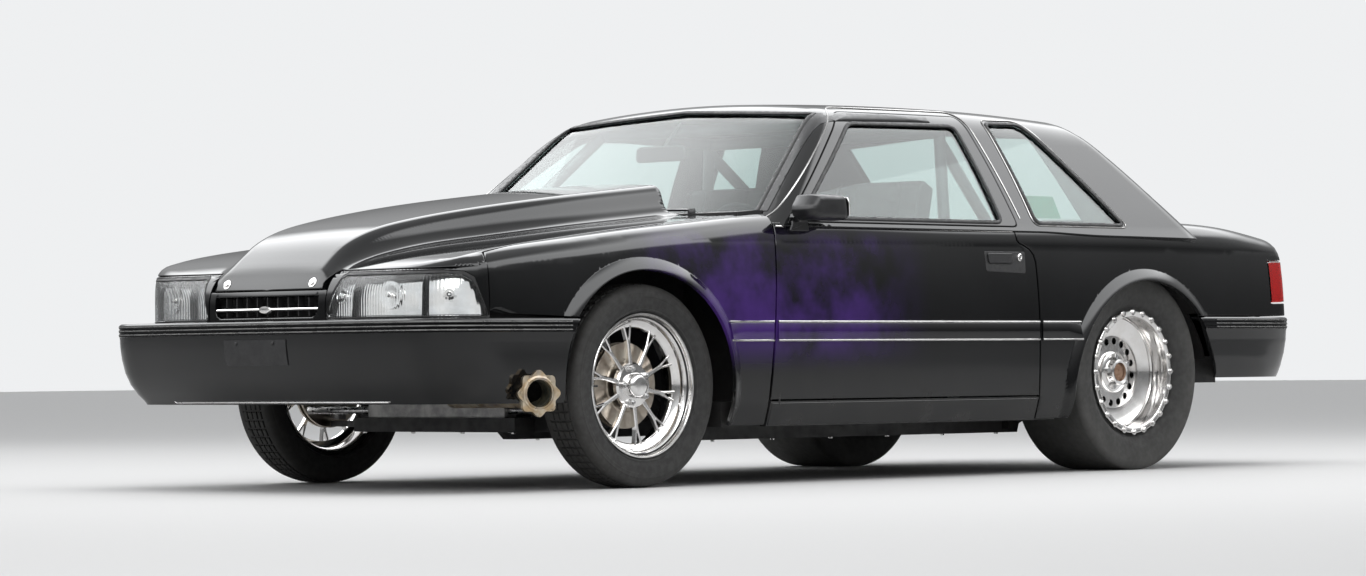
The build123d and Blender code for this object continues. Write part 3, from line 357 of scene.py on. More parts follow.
CARRIED_OVER = {
    PAINT: "decklid door_left door_right front_fenders hood quarter_panels roof tail_panel "
           "nose_panel front_bumper_cover rear_bumper_cover door_mirror_left door_mirror_right",
    GLASS: "door_glass_left door_glass_right fixed_glass",
    CHASSIS: "floor_pan firewall inner_fenders frame_rails front_crossmember radiator_support "
             "rear_axle suspension_arms fuel_tank package_shelf",
    TRIM: "dashboard steering_wheel",
    STEEL: "brake_disc_left brake_disc_right driveshaft tie_rods coilovers",
    ALLOY: "knuckle_left knuckle_right rack_housing transmission radiator",
    IRON: "engine_block",
    CAGE: "roll_cage",
    EXHAUST: "exhaust_outlet",
    SEAT: "seats",
    POLISHED: "front_wheel_left front_wheel_right rear_wheel_left rear_wheel_right",
    FRONT_RUBBER: "front_tyre_left front_tyre_right",
    REAR_RUBBER: "rear_tyre_left rear_tyre_right",
    CLEAR: "headlamps",
    RED: "tail_lamps",
}


def dress_nodes():
    for made, names in CARRIED_OVER.items():
        for name in names.split():
            slots = NODES[name].data.materials
            slots.clear()
            slots.append(made)


# The outer form of the body, in metres

GAP = 0.006
STEP = 0.022
HOOD_EDGE_Y = 0.735
HOOD_REAR_X = 0.8
NOSE_SEAM_X = 1.99
LAMP_FOOT_Z = 0.548
SILL_Z = 0.19
CREASE_Z = 0.268
BELT_Z = 0.869
TAIL_FOOT_Z = 0.557
LAMP_TOP_Z = 0.764
FRONT_ARCH = (1.331, 0.33)
REAR_ARCH = (-1.238, 0.2445)
LIP_WIDTH = 0.044
LIP_PROUD = 0.018
REAR_ARCH_RADIUS = 0.44


def through(points):
    """Smooth curve through (place, value) points, held past its ends."""
    at, value = np.array(sorted(points), float).T
    run, rise = np.diff(at), np.diff(value)
    solve, right = np.eye(len(at)), np.zeros(len(at))
    for i in range(1, len(at) - 1):
        solve[i, i - 1:i + 2] = run[i - 1], 2 * (run[i - 1] + run[i]), run[i]
        right[i] = 6 * (rise[i] / run[i] - rise[i - 1] / run[i - 1])
    bend = np.linalg.solve(solve, right)

    def curve(x):
        x = np.clip(x, at[0], at[-1])
        i = np.clip(np.searchsorted(at, x) - 1, 0, len(at) - 2)
        a, b, h = at[i + 1] - x, x - at[i], run[i]
        cubic = bend[i] * a ** 3 / (6 * h) + bend[i + 1] * b ** 3 / (6 * h)
        start = (value[i] / h - bend[i] * h / 6) * a
        return cubic + start + (value[i + 1] / h - bend[i + 1] * h / 6) * b

    return curve


def smooth_max(a, b, radius):
    near = np.clip(1 - np.abs(a - b) / radius, 0, 1)
    return np.maximum(a, b) + near * near * radius / 4


def ease(t):
    t = np.clip(t, 0, 1)
    return t * t * (3 - 2 * t)


half_width = through([
    (-2.235, 0.79), (-2.03, 0.815), (-1.64, 0.852), (-1.222, 0.868), (0, 0.872), (0.7, 0.87),
    (1.331, 0.862), (1.65, 0.842), (1.96, 0.8), (2.235, 0.745),
])
crease_height = through([
    (2.235, 0.705), (2.015, 0.722), (1.561, 0.757), (1.332, 0.778), (1.099, 0.79), (0.762, 0.799),
    (0.108, 0.806), (-0.507, 0.812), (-1.3, 0.815), (-2.2, 0.8),
])
centre_height = through([
    (2.235, 0.65), (2.19, 0.688), (2.135, 0.718), (1.99, 0.762), (1.66, 0.812), (1.34, 0.85), (1.02, 0.882),
    (0.7, 0.91), (0.0, 0.914), (-0.9, 0.917), (-1.5, 0.915), (-1.84, 0.9), (-2.06, 0.872), (-2.175, 0.845),
    (-2.235, 0.812),
])
front_arch_radius = through([
    (-90, 0.38), (0, 0.39), (30, 0.397), (58, 0.388), (90, 0.368), (120, 0.361), (180, 0.362), (270, 0.362),
])


def rear_arch_radius(turn):
    return REAR_ARCH_RADIUS


def arch_distance(x, z):
    """How far outside the nearer wheel opening's edge a point of the side lies."""
    reach = []
    for (cx, cz), radius in ((FRONT_ARCH, front_arch_radius), (REAR_ARCH, rear_arch_radius)):
        turn = np.degrees(np.arctan2(z - cz, x - cx))
        turn = np.where(turn < -90, turn + 360, turn)
        reach.append(np.hypot(x - cx, z - cz) - radius(turn))
    return np.minimum(*reach)


def lower_form(p):
    """Zero on the body below the windows, positive outside it."""
    x, y, z = p[:, 0], np.abs(p[:, 1]), p[:, 2]
    above = smooth_max(z - crease_height(x), 0, 0.012)
    tuck = 0.024 * np.clip((z - 0.505) / 0.295, 0, None) ** 2 * (z > 0.505)
    tuck = np.minimum(tuck, 0.024) + 0.2 * above
    tuck += 0.008 * np.clip((0.505 - z) / 0.237, 0, 1) ** 2
    tuck += 0.3 * smooth_max(CREASE_Z - z, 0, 0.008)
    ramp_up = np.clip(1 - arch_distance(x, z) / LIP_WIDTH, 0, 1)
    flare = LIP_PROUD * (1 - (1 - ramp_up) ** 1.5)
    side = y - half_width(x) + tuck - flare
    crown = 0.01 * (y / HOOD_EDGE_Y) ** 2 + 0.55 * np.clip(y - 0.7, 0, None) ** 2
    top = z - centre_height(x) + crown
    nose = x - (2.235 - 0.119 * y ** 2 - 0.58 * y ** 6)
    tail = -2.235 + 0.024 * (y / 0.72) ** 2 - x
    form = smooth_max(side, top, 0.06)
    form = smooth_max(form, nose, 0.06)
    return smooth_max(form, tail, 0.07)


def cabin_form(p):
    """Zero on the roof, pillars and screens, positive outside them."""
    x, y, z = p[:, 0], np.abs(p[:, 1]), p[:, 2]
    up = z - BELT_Z
    side = (y - 0.838 + 0.532 * up - 0.01 * np.sin(np.clip(up / 0.4, 0, 1) * math.pi)) / 1.133
    top = z - 1.321 + 0.0225 * ((x + 0.34) / 0.7) ** 2 + 0.031 * (y / 0.56) ** 2
    screen = (x - 0.76 + 0.052 * (y / 0.74) ** 2 + 397 / 340 * up) / 1.537
    tail = (-1.622 + 0.033 * (y / 0.6) ** 2 + 428 / 352 * up - x) / 1.574
    form = smooth_max(side, top, 0.075)
    form = smooth_max(form, screen, 0.045)
    return smooth_max(form, tail, 0.045)


scoop_half = through([(0.6, 0.556), (1.0, 0.512), (1.4, 0.458), (1.8, 0.368), (2.09, 0.29), (2.2, 0.235)])
scoop_height = through([
    (0.7, 1.026), (0.81, 1.014), (1.225, 0.97), (1.64, 0.914), (1.845, 0.878), (2.03, 0.824),
    (2.112, 0.776), (2.18, 0.715),
])


def hood_form(p):
    """The body's top with the raised middle on it."""
    x, y, z = p[:, 0], np.abs(p[:, 1]), p[:, 2]
    side = (y - scoop_half(x) + 0.466 * (z - 0.7)) / 1.103
    top = z - scoop_height(x) + 0.012 * (y / 0.4) ** 2
    scoop = smooth_max(smooth_max(side, top, 0.03), x - 2.186, 0.02)
    return -smooth_max(-lower_form(p), -scoop, 0.05)


def cast(form, start, way, low, high):
    """Where rays from the starts meet the form, which they leave between two distances."""
    start, way = np.array(start, float), np.array(way, float)
    low, high = np.full(len(start), float(low)), np.full(len(start), float(high))
    for _ in range(36):
        reach = (low + high) / 2
        outside = form(start + way * reach[:, None]) > 0
        high, low = np.where(outside, reach, high), np.where(outside, low, reach)
    return start + way * ((low + high) / 2)[:, None]


def meet(form, points, axis, low, high):
    """Points moved along an axis until they lie on the form, which the high end is outside of."""
    start = np.array(points, float)
    start[:, axis] = 0
    return cast(form, start, np.tile(np.eye(3)[axis], (len(start), 1)), low, high)


def normals_of(form, p, small=0.0004):
    slope = np.stack([form(p + small * axis) - form(p - small * axis) for axis in np.eye(3)], 1)
    return slope / np.linalg.norm(slope, axis=1)[:, None]


def settle(form, p, rounds=6, small=0.0004, level=False):
    """Points moved to the nearest place on the form, or to the nearest at their height."""
    for _ in range(rounds):
        slope = np.stack([form(p + small * a) - form(p - small * a) for a in np.eye(3)], 1)
        slope /= 2 * small
        slope[:, 2] *= not level
        p = p - (form(p) / np.maximum((slope * slope).sum(1), 1e-6))[:, None] * slope
    return p


def on_side(form, points):
    """Points (x, z) of a side view, on the left side."""
    return meet(form, [(x, 0, z) for x, z in points], 1, 0.2, 1.1)


def on_top(form, points):
    return meet(form, [(x, y, 0) for x, y in points], 2, 0.4, 1.5)


def on_front(form, points):
    return meet(form, [(0, y, z) for y, z in points], 0, -0.3, 2.4)


def spaced(points, step=0.014, closed=False):
    """The polyline with points at most a step apart, its corners kept."""
    points = [np.array(q, float) for q in points]
    ends = points[1:] + points[:1] if closed else points[1:]
    out = []
    for a, b in zip(points, ends):
        count = max(1, math.ceil(np.linalg.norm(b - a) / step))
        out += [a + (b - a) * i / count for i in range(count)]
    return np.array(out if closed else out + [points[-1]])


def box(low, high):
    """The four corners of an outline, from its lowest and its highest one."""
    return [low, (high[0], low[1]), high, (low[0], high[1])]


def grid(low, high, step=STEP):
    counts = [max(2, math.ceil((b - a) / step) + 1) for a, b in zip(low, high)]
    first, second = (np.linspace(a, b, n) for a, b, n in zip(low, high, counts))
    return np.stack(np.meshgrid(first, second), -1).reshape(-1, 2)


def arch_line(place, radius, start, end, out=0.0, step=0.02):
    """Points (x, z) round a wheel opening, between two angles in degrees."""
    count = max(2, int(abs(math.radians(end - start)) * 0.4 / step))
    turn = np.linspace(start, end, count)
    reach = radius(turn) + out
    angle = np.radians(turn)
    return np.stack([place[0] + reach * np.cos(angle), place[1] + reach * np.sin(angle)], 1)


def inside(q, loop):
    """Whether points of the plane lie in a closed loop."""
    x, y = q[:, 0][:, None], q[:, 1][:, None]
    a, b = loop, np.roll(loop, -1, 0)
    crosses = (a[:, 1] > y) != (b[:, 1] > y)
    with np.errstate(divide="ignore", invalid="ignore"):
        at = a[:, 0] + (y - a[:, 1]) * (b[:, 0] - a[:, 0]) / (b[:, 1] - a[:, 1])
    return (crosses & (x < at)).sum(1) % 2 == 1


def view_from(*way):
    """Chart that looks at a panel from one direction."""
    way = np.array(way, float) / np.linalg.norm(way)
    across = np.cross((0, 0, 1), way)
    across /= np.linalg.norm(across)
    up = np.cross(way, across)
    return lambda p: np.stack([p @ across, p @ up], 1)


SIDE_VIEW = view_from(0, 0.8, 0.6)
QUARTER_VIEW = view_from(-0.5, 0.7, 0.5)
NOSE_VIEW = view_from(0.7, 0.001, 0.7)
TAIL_VIEW = view_from(-0.7, 0.001, 0.7)
FACE_VIEW = view_from(1, 0.001, 0.05)
REAR_VIEW = view_from(-1, 0.001, 0.05)
CORNER_VIEW = view_from(0.75, 0.66, 0.05)
CABIN_CENTRE = np.array((-0.42, 0, 0.7))


def cabin_view(p):
    way = p - CABIN_CENTRE
    way = way / np.linalg.norm(way, axis=1)[:, None]
    return way[:, :2] / (1 + way[:, 2:])


def edge_way(form, loop):
    """Normal of the form, and the way into the panel, at each point of a loop."""
    along = np.roll(loop, -1, 0) - np.roll(loop, 1, 0)
    normal = normals_of(form, loop)
    into = np.cross(normal, along)
    return normal, into / np.linalg.norm(into, axis=1)[:, None]


def within(points, loops):
    """Whether points of a chart lie in its first loop and outside the others."""
    keep = inside(points, loops[0])
    for hole in loops[1:]:
        keep &= ~inside(points, hole)
    return keep


def chart_faces(flat, ties, loops):
    """Triangles between the points of a chart, within its loops and all turned one way."""
    made = delaunay_2d_cdt([Vector(q) for q in flat], ties, [], 0, 1e-9)
    if not all(made[3]):
        lost = [tuple(round(c, 3) for c in made[0][i]) for i, o in enumerate(made[3]) if not o]
        raise ValueError(f"the outlines of a panel cross at {lost[:6]} of its chart")
    index = [o[0] for o in made[3]]
    faces = np.array([[index[v] for v in f] for f in made[2]])
    faces = faces[within(flat[faces].mean(1), loops)]
    corner = flat[faces]
    ab, ac = corner[:, 1] - corner[:, 0], corner[:, 2] - corner[:, 0]
    turned = ab[:, 0] * ac[:, 1] - ab[:, 1] * ac[:, 0] < 0
    faces[turned] = faces[turned][:, ::-1]
    return faces


def shell(form, loops, points, view, wall, gap=GAP / 2, roll=0.003):
    """Closed panel between loops on a form: outer skin, rolled edge and inner skin.
    Returns its vertices, faces and the normal of each face's corners."""
    rings, edges, normals_edge = [], [], []
    for i, loop in enumerate(loops):
        flat = view(loop)
        area = np.sum(flat[:, 0] * np.roll(flat[:, 1], -1) - flat[:, 1] * np.roll(flat[:, 0], -1))
        if (area > 0) == (i > 0):
            loop = loop[::-1]
        normal, into = edge_way(form, loop)
        edge = settle(form, loop + into * gap)
        normal, into = edge_way(form, edge)
        rings.append(settle(form, edge + into * roll))
        edges.append(edge - normal * roll * 0.45)
        normals_edge.append(normal - into)
    flats = [view(edge) for edge in edges]
    points = points[np.abs(form(points)) < 1e-4]
    keep = within(view(points), flats)
    bound = np.concatenate(rings)
    near = np.array([np.min(np.sum((bound - q) ** 2, 1)) for q in points]) if len(points) else keep
    points = points[keep & (near > (0.45 * STEP) ** 2)]
    place = np.concatenate([*edges, bound, points])
    ties, first = [], 0
    for edge in edges:
        n = len(edge)
        ties += [(first + i, first + (i + 1) % n) for i in range(n)]
        first += n
    faces = chart_faces(view(place), ties, flats)
    normal = normals_of(form, place)
    back = place - normal * wall
    tilt = normal.copy()
    tilt[:first] = np.concatenate(normals_edge)
    tilt /= np.linalg.norm(tilt, axis=1)[:, None]
    count = len(place)
    all_faces = [tuple(f) for f in faces] + [tuple(f[::-1] + count) for f in faces]
    corners = [tilt[f] for f in faces] + [-normal[f[::-1]] for f in faces]
    for a, b in ties:
        all_faces.append((b, a, a + count, b + count))
        side = np.cross(place[a] - place[b], back[b] - place[b])
        corners.append(np.tile(side / (np.linalg.norm(side) + 1e-12), (4, 1)))
    return np.concatenate([place, back]), all_faces, corners


def mirrored(built):
    """The same panel on the car's right side."""
    flip = np.array((1, -1, 1))
    place, faces, corners = built
    return place * flip, [f[::-1] for f in faces], [c[::-1] * flip for c in corners]


def mesh_piece(name, builds, materials, body, slot, *nodes):
    """One object from shells that don't touch, in place of CAD nodes."""
    place, faces, corners, start = [], [], [], 0
    for points, some, ways in builds:
        place.append(points)
        faces += [tuple(int(v) + start for v in f) for f in some]
        corners += list(ways)
        start += len(points)
    mesh = bpy.data.meshes.new(name)
    mesh.from_pydata(np.concatenate(place).tolist(), [], faces)
    mesh.update()
    mesh.shade_smooth()
    mesh.normals_split_custom_set(np.concatenate(corners).tolist())
    return finished(name, mesh, materials, body, slot, *nodes)


def finished(name, mesh, materials, body, slot, *nodes):
    """The mesh as a piece that rides on a body and stands for CAD nodes."""
    piece = bpy.data.objects.new(name, mesh)
    bpy.context.scene.collection.objects.link(piece)
    for made in materials if isinstance(materials, (list, tuple)) else [materials]:
        mesh.materials.append(made)
    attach(piece, body)
    if nodes:
        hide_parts(*nodes)
    return piece


# Panels

DOOR_FRONT = [(0.782, 0.275), (0.725, 0.869)]
DOOR_REAR = [
    (-0.615, 0.275), (-0.612, 0.745), (-0.604, 0.772), (-0.588, 0.79), (-0.56, 0.803), (-0.533, 0.812),
    (-0.521, 0.824), (-0.518, 0.869),
]
CREASE_ROWS = [-0.008, 0.0, 0.008]


def side_points(x_low, x_high, z_low, z_high):
    """Points of the side skin: a grid, and rows along its creases and round its arches."""
    rows = [grid((x_low, z_low), (x_high, z_high))]
    x = np.arange(x_low, x_high, STEP)
    for off in CREASE_ROWS:
        rows.append(np.stack([x, crease_height(x) + off], 1))
        rows.append(np.stack([x, np.full(len(x), CREASE_Z + off * 0.7)], 1))
    for place, radius in ((FRONT_ARCH, front_arch_radius), (REAR_ARCH, rear_arch_radius)):
        for out in (0.009, 0.02, 0.031, 0.0425, 0.0455, 0.056):
            rows.append(arch_line(place, radius, -40, 220, out, 0.012))
    return on_side(lower_form, np.concatenate(rows))


def front_fenders():
    rear = spaced([(0.785, SILL_Z + 0.002), (0.785, 0.275), (0.725, 0.86)])
    rise = on_side(lower_form, rear)
    back = on_top(lower_form, spaced([(0.722, 0.825), (0.7, HOOD_EDGE_Y)]))
    top = on_top(lower_form, spaced([(0.7, HOOD_EDGE_Y), (1.965, HOOD_EDGE_Y)])[1:])
    front = on_side(lower_form, spaced([(NOSE_SEAM_X, 0.728), (NOSE_SEAM_X, LAMP_FOOT_Z)]))
    start = math.degrees(math.asin((LAMP_FOOT_Z - FRONT_ARCH[1]) / 0.397))
    arch = arch_line(FRONT_ARCH, front_arch_radius, start, 180, 0, 0.012)
    low = spaced([tuple(arch[-1]), (0.969, SILL_Z + 0.002), (0.785, SILL_Z + 0.002)])[1:-1]
    under = on_side(lower_form, np.concatenate([arch, low]))
    loop = np.concatenate([rise, back, top, front[:-1], under])
    above = on_top(lower_form, grid((0.68, 0.72), (1.99, 0.84)))
    points = np.concatenate([side_points(0.7, 1.99, 0.19, 0.78), above])
    built = shell(lower_form, [loop], points, SIDE_VIEW, 0.012)
    mesh_piece("front_fender_skins", [built, mirrored(built)], PAINT, "root", "body_paint", "front_fenders")


def doors():
    outline = spaced(DOOR_FRONT + DOOR_REAR[::-1], closed=True)
    points = side_points(-0.62, 0.79, 0.27, 0.86)
    built = shell(lower_form, [on_side(lower_form, outline)], points, SIDE_VIEW, 0.05)
    for side, _, flip in HANDS:
        mesh_piece(f"door_{side}_skin", [flip(built)], PAINT, f"door_{side}", "body_paint")


def draped(form, *rough):
    """A rough line of points, filled in and laid on the form."""
    return settle(form, spaced(rough))


def both_halves(half):
    """Closed loop from its left half, which starts and ends on the middle line."""
    return np.concatenate([half, (half * (1, -1, 1))[-2:0:-1]])


def on_rear(form, points):
    return meet(form, [(0, y, z) for y, z in points], 0, -0.9, -2.6)


LAMP_LOW_Z = 0.609
LAMP_FRONT_X = -2.068
DECK_Y = 0.64
HOOD_LIP_Z = 0.7055


def quarter_panels():
    start = math.degrees(math.asin((TAIL_FOOT_Z - REAR_ARCH[1]) / REAR_ARCH_RADIUS))
    arch = arch_line(REAR_ARCH, rear_arch_radius, 0, 180 - start, 0, 0.012)
    front = spaced([*DOOR_REAR[::-1], (-0.615, SILL_Z + 0.002), (-0.798, SILL_Z + 0.002)])[:-1]
    side = on_side(lower_form, np.concatenate([front, arch]))
    foot = draped(lower_form, side[-1], (-2.06, 0.8, TAIL_FOOT_Z), (-2.19, 0.745, TAIL_FOOT_Z),
                  (-2.225, DECK_Y, TAIL_FOOT_Z), (-2.225, DECK_Y, LAMP_LOW_Z), (-2.19, 0.745, LAMP_LOW_Z),
                  (LAMP_FRONT_X, 0.8, LAMP_LOW_Z), (LAMP_FRONT_X, 0.79, LAMP_TOP_Z),
                  (-2.19, 0.74, LAMP_TOP_Z), (-2.225, DECK_Y, LAMP_TOP_Z), (-2.215, DECK_Y, 0.8))[1:-1]
    top = on_top(lower_form, spaced([(-2.19, DECK_Y), (-1.5, DECK_Y), (-0.7, 0.79), (-0.518, 0.8)]))
    loop = np.concatenate([side, foot, top])
    above = on_top(lower_form, grid((-2.2, 0.64), (-0.53, 0.84)))
    behind = on_rear(lower_form, grid((0.62, 0.56), (0.76, 0.82)))
    points = np.concatenate([side_points(-2.13, -0.53, 0.19, 0.85), above, behind])
    built = shell(lower_form, [loop], points, QUARTER_VIEW, 0.014)
    mesh_piece("quarter_panel_skins", [built, mirrored(built)], PAINT, "root", "body_paint",
               "quarter_panels")


def hood():
    rim = HOOD_EDGE_Y - GAP / 2
    # The raised middle starts a little further forward, to swing clear of the cowl
    rear = on_top(hood_form, spaced([(HOOD_REAR_X, 0.0), (HOOD_REAR_X, rim)], 0.007))
    rear[:, 0] += ease((rear[:, 2] - 0.905) / 0.01) * (0.03 - 0.13 * (rear[:, 2] - 0.86))
    rear = on_top(hood_form, rear[:, :2])
    edge = on_top(hood_form, spaced([(HOOD_REAR_X, rim), (1.965, rim)]))[1:]
    corner = draped(lower_form, edge[-1], (1.997, 0.79, 0.728))[1:]
    level = spaced([(1.998, 0.79, HOOD_LIP_Z), (2.04, 0.76, HOOD_LIP_Z), (2.09, 0.7, HOOD_LIP_Z),
                    (2.14, 0.6, HOOD_LIP_Z), (2.2, 0.45, HOOD_LIP_Z), (2.225, 0.29, HOOD_LIP_Z)])
    level = settle(lower_form, level, 12, level=True)
    middle = draped(lower_form, level[-1], (2.23, 0.262, 0.68), (2.23, 0.262, 0.65), (2.235, 0.0, 0.65))[1:]
    middle = meet(lower_form, middle, 0, 0.9, 2.4)
    middle[-1, 1] = 0
    loop = both_halves(np.concatenate([rear, edge, corner, level, middle]))
    top = on_top(hood_form, grid((0.81, -0.72), (2.16, 0.72), 0.02))
    front = on_front(hood_form, grid((-0.7, 0.655), (0.7, 0.75), 0.014))
    front = front[front[:, 0] > 1.99]
    corner = on_side(hood_form, grid((2.004, 0.712), (2.07, 0.728), 0.012))
    # Rows along the foot and the shoulder of the raised middle
    x = np.arange(0.81, 2.1, 0.012)
    rows = []
    for height in (centre_height, scoop_height):
        edge = scoop_half(x) - 0.466 * (height(x) - 0.7)
        rows += [np.stack([x, edge + off], 1) for off in np.arange(-0.048, 0.049, 0.008)]
    rows = on_top(hood_form, np.concatenate(rows))
    points = np.concatenate([top, front, corner, corner * (1, -1, 1), rows, rows * (1, -1, 1)])
    built = shell(hood_form, [loop], points, NOSE_VIEW, 0.018)
    mesh_piece("hood_skin", [built], PAINT, "hood", "body_paint", "hood")


def decklid():
    rim = DECK_Y - GAP / 2
    front = on_top(lower_form, spaced([(-1.65, 0.0), (-1.65, rim), (-2.19, rim)]))
    down = draped(lower_form, front[-1], (-2.215, rim, 0.8), (-2.225, rim, LAMP_TOP_Z + GAP),
                  (-2.235, 0, LAMP_TOP_Z + GAP))[1:]
    down = np.concatenate([down[:-1], [(down[-1][0], 0, down[-1][2])]])
    loop = both_halves(np.concatenate([front, down]))
    top = on_top(lower_form, grid((-2.19, -0.63), (-1.65, 0.63)))
    back = on_rear(lower_form, grid((-0.63, 0.775), (0.63, 0.84), 0.012))
    built = shell(lower_form, [loop], np.concatenate([top, back]), TAIL_VIEW, 0.018)
    mesh_piece("decklid_skin", [built], PAINT, "decklid", "body_paint", "decklid")


def tail_panel():
    inner = 0.563
    half = [(0.0, TAIL_FOOT_Z), (DECK_Y, TAIL_FOOT_Z), (DECK_Y, LAMP_LOW_Z), (inner, LAMP_LOW_Z),
            (inner, LAMP_TOP_Z), (0.0, LAMP_TOP_Z)]
    loop = both_halves(on_rear(lower_form, spaced(half)))
    points = on_rear(lower_form, grid((-0.63, 0.56), (0.63, 0.76)))
    built = shell(lower_form, [loop], points, REAR_VIEW, 0.014)
    mesh_piece("tail_panel_skin", [built], PAINT, "root", "body_paint", "tail_panel")


def nose_panel():
    outer = box((0.0, LAMP_FOOT_Z), (0.282, 0.644))
    slot = [(0.0, 0.558), (0.222, 0.558), (0.24, 0.566), (0.249, 0.584), (0.249, 0.626), (0.0, 0.626)]
    loops = [both_halves(on_front(lower_form, spaced(half))) for half in (outer, slot)]
    points = on_front(lower_form, grid((-0.28, 0.55), (0.28, 0.64), 0.012))
    built = shell(lower_form, loops, points, FACE_VIEW, 0.014, GAP / 6)
    mesh_piece("nose_panel_skin", [built], PAINT, "root", "body_paint", "nose_panel")


WINDSCREEN = [(0.0, 0.903), (0.704, 0.903), (0.588, 1.254), (0.0, 1.284)]
BACKLIGHT = [(0.0, 0.915), (0.592, 0.915), (0.52, 1.232), (0.0, 1.264)]
DOOR_FRAME = [(0.662, 0.869), (0.16, 1.266), (-0.478, 1.268), (-0.545, 0.869)]
DOOR_GLASS = [(0.59, 0.885), (0.148, 1.222), (-0.418, 1.23), (-0.462, 0.885)]
QUARTER_GLASS = [(-0.6, 1.246), (-0.8, 1.25), (-1.15, 0.885), (-0.65, 0.885)]


def rounded(corners, radius):
    """The outline with its corners turned into short arcs."""
    out = []
    corners = [np.array(c, float) for c in corners]
    for before, at, after in zip(corners[-1:] + corners[:-1], corners, corners[1:] + corners[:1]):
        start = at + (before - at) / np.linalg.norm(before - at) * radius
        end = at + (after - at) / np.linalg.norm(after - at) * radius
        out += [(1 - t) ** 2 * start + 2 * t * (1 - t) * at + t * t * end for t in (0, 0.25, 0.5, 0.75, 1)]
    return out


def ring(outline, radius=0.03):
    """Closed line round an outline with its corners rounded."""
    return spaced(rounded(outline, radius), closed=True)


def roof():
    glass_front = both_halves(on_front(cabin_form, spaced(WINDSCREEN)))
    glass_rear = both_halves(on_rear(cabin_form, spaced(BACKLIGHT)))
    holes = [glass_front, glass_rear]
    flip = np.array((1, -1, 1))
    for outline in (DOOR_FRAME, QUARTER_GLASS):
        hole = on_side(cabin_form, ring(outline))
        holes += [hole, (hole * flip)[::-1]]
    turn = np.linspace(0, math.pi, 180)
    # The foot of the rear pillar reaches down over the rounded shoulder
    drop = -0.009 * ease((turn - 1.84) / 0.35) * (1 - ease((turn - 2.62) / 0.15))
    way = np.stack([np.cos(turn), np.sin(turn), drop], 1)
    half = cast(cabin_form, np.tile((-0.42, 0, 0.855), (180, 1)), way, 0.3, 2.0)
    loop = both_halves(half)
    top = on_top(cabin_form, grid((-1.1, -0.62), (0.36, 0.62), 0.03))
    left = on_side(cabin_form, grid((-1.6, 0.865), (0.72, 1.27), 0.02))
    front = on_front(cabin_form, grid((-0.8, 0.865), (0.8, 1.28), 0.02))
    rear = on_rear(cabin_form, grid((-0.8, 0.865), (0.8, 1.28), 0.02))
    points = np.concatenate([top, left, left * flip, front, rear])
    built = shell(cabin_form, [loop, *holes], points, cabin_view, 0.026, 0.0)
    mesh_piece("roof_skin", [built], PAINT, "root", "body_paint", "roof")


def door_frames():
    loops = [on_side(cabin_form, ring(outline)) for outline in (DOOR_FRAME, DOOR_GLASS)]
    points = on_side(cabin_form, grid((-0.57, 0.872), (0.65, 1.27), 0.015))
    built = shell(cabin_form, loops, points, SIDE_VIEW, 0.03, GAP / 2)
    for side, _, flip in HANDS:
        mesh_piece(f"door_{side}_frame", [flip(built)], PAINT, f"door_{side}", "body_paint", f"door_{side}")


def tube_faces(rows, columns):
    """Faces of a closed skin: rows of a closed profile, one after another, with end caps."""
    faces = []
    for i in range(rows - 1):
        for j in range(columns):
            k = (j + 1) % columns
            faces.append((i * columns + j, i * columns + k, (i + 1) * columns + k, (i + 1) * columns + j))
    last = (rows - 1) * columns
    return faces + [tuple(range(columns))[::-1], tuple(range(last, last + columns))]


def joined(*shapes):
    """Several closed shapes as one list of points and one of faces."""
    place, faces, start = [], [], 0
    for points, some in shapes:
        place.append(np.asarray(points, float))
        faces += [tuple(int(v) + start for v in f) for f in some]
        start += len(points)
    return np.concatenate(place), faces


def right_hand(shape):
    """The same shape on the car's right side."""
    return np.asarray(shape[0], float) * (1, -1, 1), shape[1]


def on_both(shape):
    return joined(shape, right_hand(shape))


def same(shape):
    return shape


# Name of a side, what makes a shape for it from the left one, and what makes a panel
HANDS = (("left", same, same), ("right", right_hand, mirrored))


def frame_about(axis):
    """Two directions square to an axis and to each other."""
    axis = np.array(axis, float) / np.linalg.norm(axis)
    other = (1, 0, 0) if abs(axis[0]) < 0.9 else (0, 0, 1)
    first = np.cross(np.cross(axis, other), axis)
    first /= np.linalg.norm(first)
    return axis, first, np.cross(first, axis)


def lathe(profile, origin=(0, 0, 0), axis=(0, 1, 0), segments=72):
    """Turned solid from a closed profile of (radius, distance along the axis) points."""
    axis, first, second = frame_about(axis)
    radius, along = np.array(profile, float).T
    turn = np.linspace(0, math.tau, segments, endpoint=False)
    ring = np.cos(turn)[:, None] * first + np.sin(turn)[:, None] * second
    place = np.array(origin) + ring[:, None] * radius[None, :, None] + axis * along[None, :, None]
    n, faces = len(radius), []
    for i in range(segments):
        for j in range(n):
            k, after = (j + 1) % n, (i + 1) % segments * n
            if radius[j] + radius[k] > 0:
                faces.append((i * n + j, i * n + k, after + k, after + j))
    return place.reshape(-1, 3), faces


def swept(path, section, up, closed=False, scale=None):
    """A section of (across, up) points carried along a path."""
    path, section = np.array(path, float), np.array(section, float)
    along = np.roll(path, -1, 0) - np.roll(path, 1, 0) if closed else np.gradient(path, axis=0)
    along /= np.linalg.norm(along, axis=1)[:, None]
    up = np.broadcast_to(np.array(up, float), path.shape)
    across = np.cross(along, up)
    across /= np.linalg.norm(across, axis=1)[:, None]
    rise = np.cross(across, along)
    size = np.ones(len(path)) if scale is None else np.asarray(scale, float)
    rows = path[:, None] + size[:, None, None] * (
        across[:, None] * section[None, :, :1] + rise[:, None] * section[None, :, 1:])
    count, n = len(path), len(section)
    if not closed:
        return rows.reshape(-1, 3), tube_faces(count, n)
    faces = [(i * n + j, i * n + (j + 1) % n, (i + 1) % count * n + (j + 1) % n, (i + 1) % count * n + j)
             for i in range(count) for j in range(n)]
    return rows.reshape(-1, 3), faces


